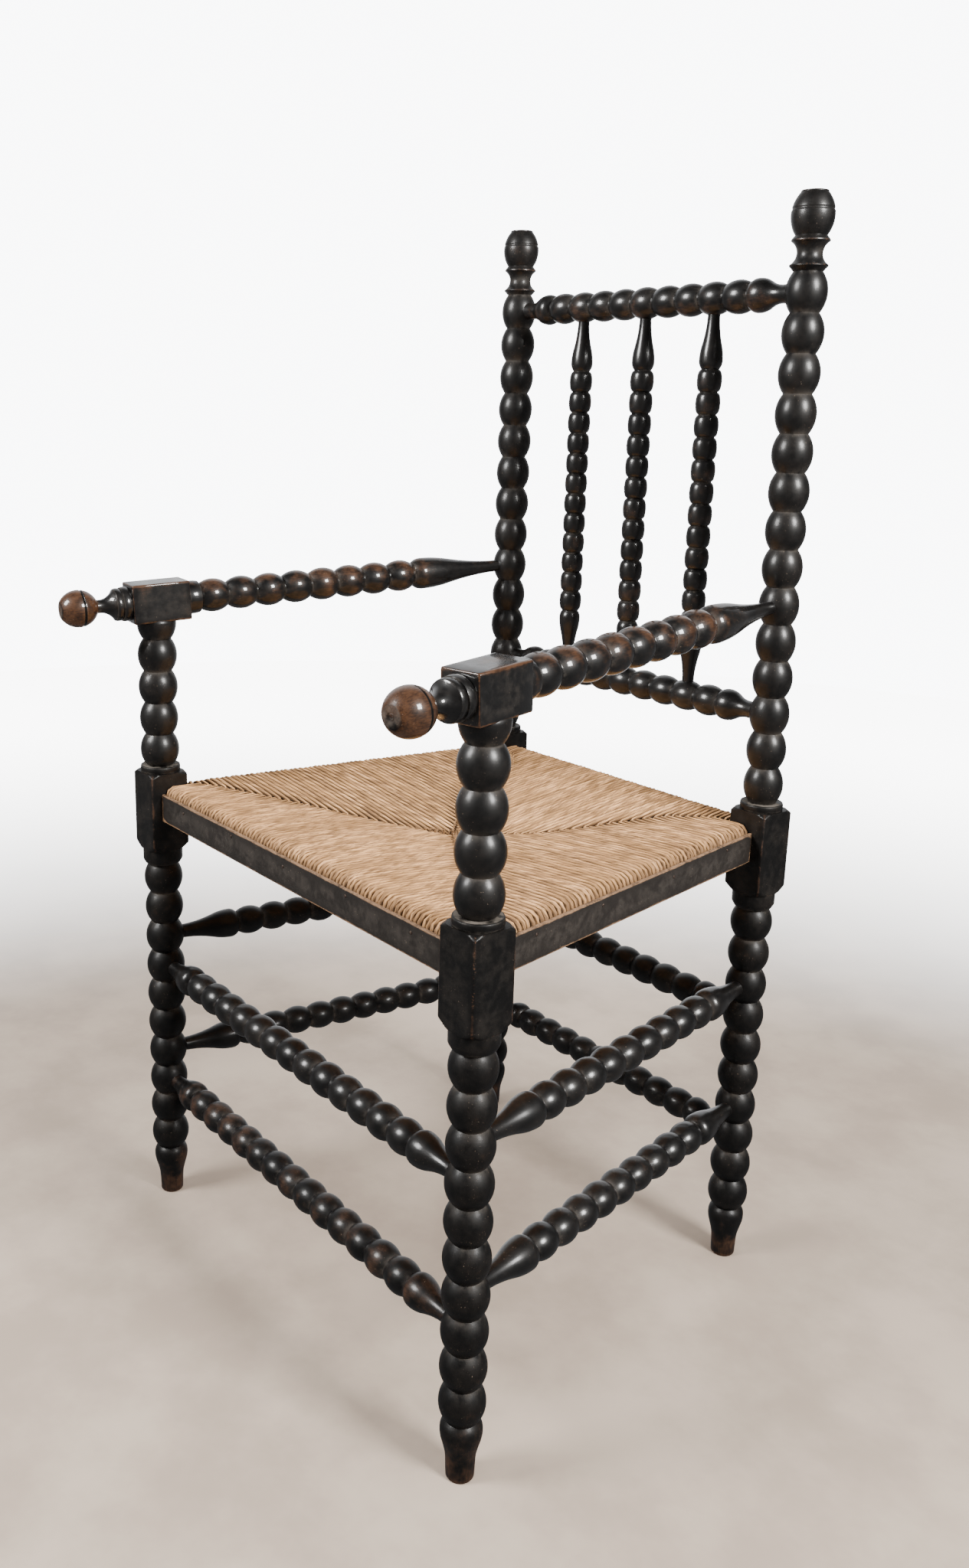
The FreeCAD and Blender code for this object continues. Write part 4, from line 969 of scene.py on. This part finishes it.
def strand_path(inner, edge, fall_at, ends):
    """Points of a strand from seam to seam, as (distance from the middle, height, thickness, painted shade).
    fall_at gives the fall at a distance, and ends how it dives past inner, as (distance, depth)."""
    top, base = RUSH_TOP - STRAND_RADIUS, RUSH_BASE + STRAND_RADIUS
    bend, start = ROLL - STRAND_RADIUS, edge - ROLL
    run = np.linspace(inner, start, max(3, int((start - inner) / PATH_STEP) + 2))
    depth = np.array([fall_at(distance) for distance in run])
    # The fourth value is painted shade: it grows over the roll, is full under it and where the strand dives
    # into a seam, and is none on the open run.
    over = [(start + bend * math.sin(turn), top - bend + bend * math.cos(turn), 1.0, math.sin(turn) ** 2)
            for turn in ROLL_TURNS]
    under = [(start + bend * math.sin(turn), base + bend - bend * math.cos(turn), 1.0, 1.0)
             for turn in ROLL_TURNS[::-1]]
    full = 1 - THINNED * np.clip(1 - (run - inner) / THINNED_RUN, 0, 1)
    unshaded = np.zeros(len(run))
    upper = list(zip(run, top - DISH * depth ** DISH_POWER, full, unshaded))
    lower = list(zip(run, base + UNDER_DISH * depth, full, unshaded))
    dive = [(inner - past, upper[0][1] - deep, full[0], 1.0) for past, deep in ends]
    rise = [(inner - past, lower[0][1] + deep, full[0], 1.0) for past, deep in reversed(ends)]
    return dive + upper + over + under + lower[::-1] + rise


def spaced(low, high, pitch):
    """Places for strands, a pitch apart, each a little off."""
    count = int(round((high - low) / pitch)) + 1
    return np.linspace(low, high, count) + rng.uniform(-OFF_PITCH, OFF_PITCH, count)


def cross_strands(seam, edge, post_x, facing):
    """Strands of the front or back panel. facing is -1 for the front."""
    strands = []
    for x in spaced(CORNER_INSET - post_x, post_x - CORNER_INSET, STRAND_PITCH):
        inner = facing * (seam_y(seam, x) - CENTRE_Y)
        reach = facing * (edge - CENTRE_Y)
        path = strand_path(inner, reach, lambda d, x=x: fall(x, CENTRE_Y + facing * d), CROSS_ENDS)
        strands.append([((x, CENTRE_Y + facing * distance, z), *rest) for distance, z, *rest in path])
    return strands


def side_strands(facing):
    """Strands of the left (-1) or right (1) panel."""
    strands = []
    for y in spaced(FRONT_Y + CORNER_INSET, BACK_Y - CORNER_INSET, SIDE_PITCH):
        path = strand_path(seam_x(y) + SIDE_STOP, side_edge(y), lambda d, y=y: fall(d, y), SIDE_ENDS)
        strands.append([((facing * distance, y, z), *rest) for distance, z, *rest in path])
    return strands


print("strands are", 2 * STRAND_RADIUS, "mm thick")

# %% Panels
UNEVENNESS, STRAND_STEP, STRAND_SIDES = 1.2, 6, 8
PALE, GOLDEN = (0.0, 0.7), (0.0, 0.8)
FULL, SLIM = 1.0, 0.94


def panel(name, strands, tint_range, fullness):
    """A rush panel from its strands' paths. Tints are from pale to golden, and fullness scales thickness."""
    points, edges = [], []
    for path in strands:
        edges += [(spot, spot + 1) for spot in range(len(points), len(points) + len(path) - 1)]
        tint = rng.uniform(*tint_range)
        own = fullness * rng.uniform(0.92, 1.06)
        points += [(*spot, tint, own * share, grime) for spot, share, grime in path]
    points = np.array(points)
    mesh = bpy.data.meshes.new(name)
    mesh.from_pydata((points[:, :3] * MM).tolist(), edges, [])
    for column, key in enumerate(("tint", "thick", "grime"), 3):
        mark(mesh, key, points[:, column])
    values = {"Strand Radius": STRAND_RADIUS * MM, "Unevenness": UNEVENNESS * MM, "Step": STRAND_STEP * MM,
              "Sides": STRAND_SIDES, "Finish": RUSH}
    return through_nodes(link(name, mesh), STRANDS, values)


rush = [panel("rush_front", cross_strands(FRONT_SEAM, FRONT_EDGE, FRONT_X, -1), PALE, FULL),
        panel("rush_back", cross_strands(BACK_SEAM, BACK_EDGE, BACK_X, 1), PALE, FULL),
        panel("rush_left", side_strands(-1), GOLDEN, SLIM),
        panel("rush_right", side_strands(1), GOLDEN, SLIM)]
print("panels:", faces_of(rush))

# %% Stuffing
STUFFING_DEPTH = 2 * STRAND_RADIUS + 0.6
STUFFING_ROWS, STUFFING_COLUMNS = 31, 41
STUFFING_SHADE_COLOURS = (0.030, 0.016, 0.008), (0.075, 0.042, 0.021)
# The stuffing's dark colour is painted shade, for the gaps between strands.
STUFFING_SHADE = streaked("rush_stuffing_shade", noise=(300, 4, 0.6), stretch=(1, 0.3, 1), edges=(0.35, 0.65),
                    colours=STUFFING_SHADE_COLOURS, roughness=(0.8, 0.1), bump=(0.5, 0.001))


def stuffing():
    """A dished slab, painted dark as the shade in the gaps between strands, clear of the blocks."""
    across = np.linspace(-1, 1, STUFFING_COLUMNS)
    lines = np.linspace(FRONT_Y + CORNER_INSET, BACK_Y - CORNER_INSET, STUFFING_ROWS)
    plan = np.array([[(x, y) for x in across * (side_edge(y) - CORNER_INSET)] for y in lines])
    depth = fall(plan[..., 0], plan[..., 1])
    upper = np.dstack([plan, RUSH_TOP - STUFFING_DEPTH - DISH * depth ** DISH_POWER])
    lower = np.dstack([plan, RUSH_BASE + STUFFING_DEPTH + UNDER_DISH * depth])
    top = np.arange(depth.size).reshape(depth.shape)
    cells = np.stack([top[:-1, :-1], top[:-1, 1:], top[1:, 1:], top[1:, :-1]], -1).reshape(-1, 4)
    rim = np.concatenate([top[0, :-1], top[:-1, -1], top[-1, :0:-1], top[:0:-1, 0]])
    ahead = np.roll(rim, -1)
    walls = np.stack([rim + depth.size, ahead + depth.size, ahead, rim], -1)
    mesh = bpy.data.meshes.new("rush_stuffing_shade")
    points = np.concatenate([upper.reshape(-1, 3), lower.reshape(-1, 3)]) * MM
    faces = np.concatenate([cells, cells[:, ::-1] + depth.size, walls])
    mesh.from_pydata(points.tolist(), [], faces.tolist())
    mesh.materials.append(STUFFING_SHADE)
    mesh.shade_smooth()
    return link("rush_stuffing_shade", mesh)


rush.append(stuffing())
for piece in rush:
    settle(piece, "rush", "rush_seat")
print("rush:", [piece.name for piece in rush])


# %% [markdown]
# ## Seat rails
# The rails inside the rush don't show, so they keep their solids and get a plain wood finish.

# %% Rail finish
RAIL_COLOURS = (0.24, 0.145, 0.075), (0.40, 0.27, 0.15)
PLAIN_WOOD = streaked("plain_wood", noise=(260, 4, 0.6), stretch=(1, 1, 0.2), edges=(0.3, 0.7),
                      colours=RAIL_COLOURS, roughness=(0.6, 0.2), bump=(0.3, 0.0005))
for side in CORNERS:
    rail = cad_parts[f"seat_rail_{side}"]
    rail.data.materials.clear()
    rail.data.materials.append(PLAIN_WOOD)
print("rails in", PLAIN_WOOD.name)


# %% [markdown]
# ## Floor, light and camera
# The floor is a pale disc that fades to white. Two windows, to the right and in front, make the pair of
# highlights on every upright bead, and a wide ceiling light softens the shadows.
# The camera stands in front, to the right and about 0.9 m up, as it did for the photograph.

# %% Floor
FLOOR_RADIUS, FLOOR_MIDDLE = 3.4, (0.5, -0.45, 0)
FLOOR_DARK, FLOOR_LIGHT, FLOOR_WHITE = (0.36, 0.286, 0.226), (0.465, 0.376, 0.300), (0.9, 0.9, 0.9)


def floor_finish():
    finish = Finish("pale_floor")
    spot = finish.spot()
    offset = finish.node("ShaderNodeVectorMath", {"operation": "SUBTRACT"}, {0: spot, 1: FLOOR_MIDDLE})
    distance = finish.node("ShaderNodeVectorMath", {"operation": "LENGTH"}, {0: offset}, 1)
    mottle = finish.noise(spot, scale=5, detail=5, roughness=0.6)
    near = finish.blend(mottle.between(0.35, 0.65), FLOOR_DARK, FLOOR_LIGHT)
    glow = finish.blend(distance.between(1.3, 3.3), (0, 0, 0), (1, 1, 1))
    finish.set(Base_Color=finish.blend(distance.between(1.2, 2.6), near, FLOOR_WHITE), Roughness=0.85,
               Emission_Color=glow, Emission_Strength=8.0)
    return finish.material


bpy.ops.mesh.primitive_circle_add(vertices=96, radius=FLOOR_RADIUS, fill_type="NGON")
floor = bpy.context.active_object
floor.name = "pale_floor"
floor.data.materials.append(floor_finish())
floor.visible_glossy = False
print("floor:", FLOOR_RADIUS, "m in radius")

# %% Surroundings
world = bpy.data.worlds.new("studio")
bpy.context.scene.world = world
world.use_nodes = True
ROOM, BACKDROP, DARK_SIDE, BELOW, WALL = 0.5, 9.5, 0.07, 0.10, 1.1
BEHIND = (-0.77, 0.59, 0.24)
SKY = (0.97, 0.98, 1.0, 1)
room = world.node_tree
seen = Wire.node(room, "ShaderNodeLightPath", output="Is Camera Ray")
mirrored_ray = Wire.node(room, "ShaderNodeLightPath", output="Is Glossy Ray")
heading = Wire.node(room, "ShaderNodeTexCoord", output="Generated")
upright = Wire.node(room, "ShaderNodeSeparateXYZ", None, {0: heading}, 2)
sockets = {0: heading, 1: BEHIND}
towards_wall = Wire.node(room, "ShaderNodeVectorMath", {"operation": "DOT_PRODUCT"}, sockets, 1)
reflected = towards_wall.between(0.55, 0.95) * WALL + (1 - upright.between(-0.2, 0.0)) * BELOW + DARK_SIDE
strength = seen * (BACKDROP - ROOM) + mirrored_ray * (reflected - ROOM) + ROOM
sky = room.nodes["Background"]
room.links.new(strength.socket, sky.inputs["Strength"])
sky.inputs["Color"].default_value = SKY
print("surroundings:", len(room.nodes), "nodes")


# %% Lights
def soft_light(name, spot, target, size, power, colour):
    data = bpy.data.lights.new(name, "AREA")
    data.shape = "RECTANGLE"
    data.size, data.size_y = size
    data.energy = power
    data.color = colour
    lamp = link(name, data)
    lamp.location = spot
    lamp.rotation_euler = (Vector(target) - Vector(spot)).to_track_quat("-Z", "Y").to_euler()
    return lamp


WINDOW, SEAT_MIDDLE = (0.75, 0.9), (0, 0, 0.6)
lamps = [soft_light("right_window", (2.55, 0.33, 2.04), SEAT_MIDDLE, WINDOW, 175, (1.0, 0.985, 0.96)),
         soft_light("left_window", (-0.67, -2.0, 1.9), SEAT_MIDDLE, WINDOW, 95, (1.0, 0.99, 0.975)),
         soft_light("ceiling", (0.0, 0.2, 3.4), (0, 0, 0), (3.0, 3.0), 90, (1.0, 1.0, 1.0))]
lamps[-1].visible_glossy = False
print("lights:", [lamp.name for lamp in lamps])

# %% Camera
EYE = Vector((967.64, -793.0, 886.94)) * MM
RIGHT = Vector((0.60483, 0.79616, 0.01757))
DOWN = Vector((0.20348, -0.13318, -0.96998))
AHEAD = Vector((-0.76992, 0.59025, -0.24255))
PHOTO_WIDTH, PHOTO_HEIGHT = 1265, 2048
FOCAL, CENTRE = 1703.56, (526.04, 960.27)
SENSOR = 36
camera_data = bpy.data.cameras.new("camera")
camera_data.sensor_width = SENSOR
camera_data.lens = FOCAL / PHOTO_HEIGHT * SENSOR
camera_data.shift_x = (PHOTO_WIDTH / 2 - CENTRE[0]) / PHOTO_HEIGHT
camera_data.shift_y = (CENTRE[1] - PHOTO_HEIGHT / 2) / PHOTO_HEIGHT
camera = link("camera", camera_data)
camera.matrix_world = Matrix.Translation(EYE) @ Matrix((RIGHT, -DOWN, -AHEAD)).transposed().to_4x4()
bpy.context.scene.camera = camera
print("camera at", [round(v, 3) for v in EYE], "lens", round(camera_data.lens, 2))
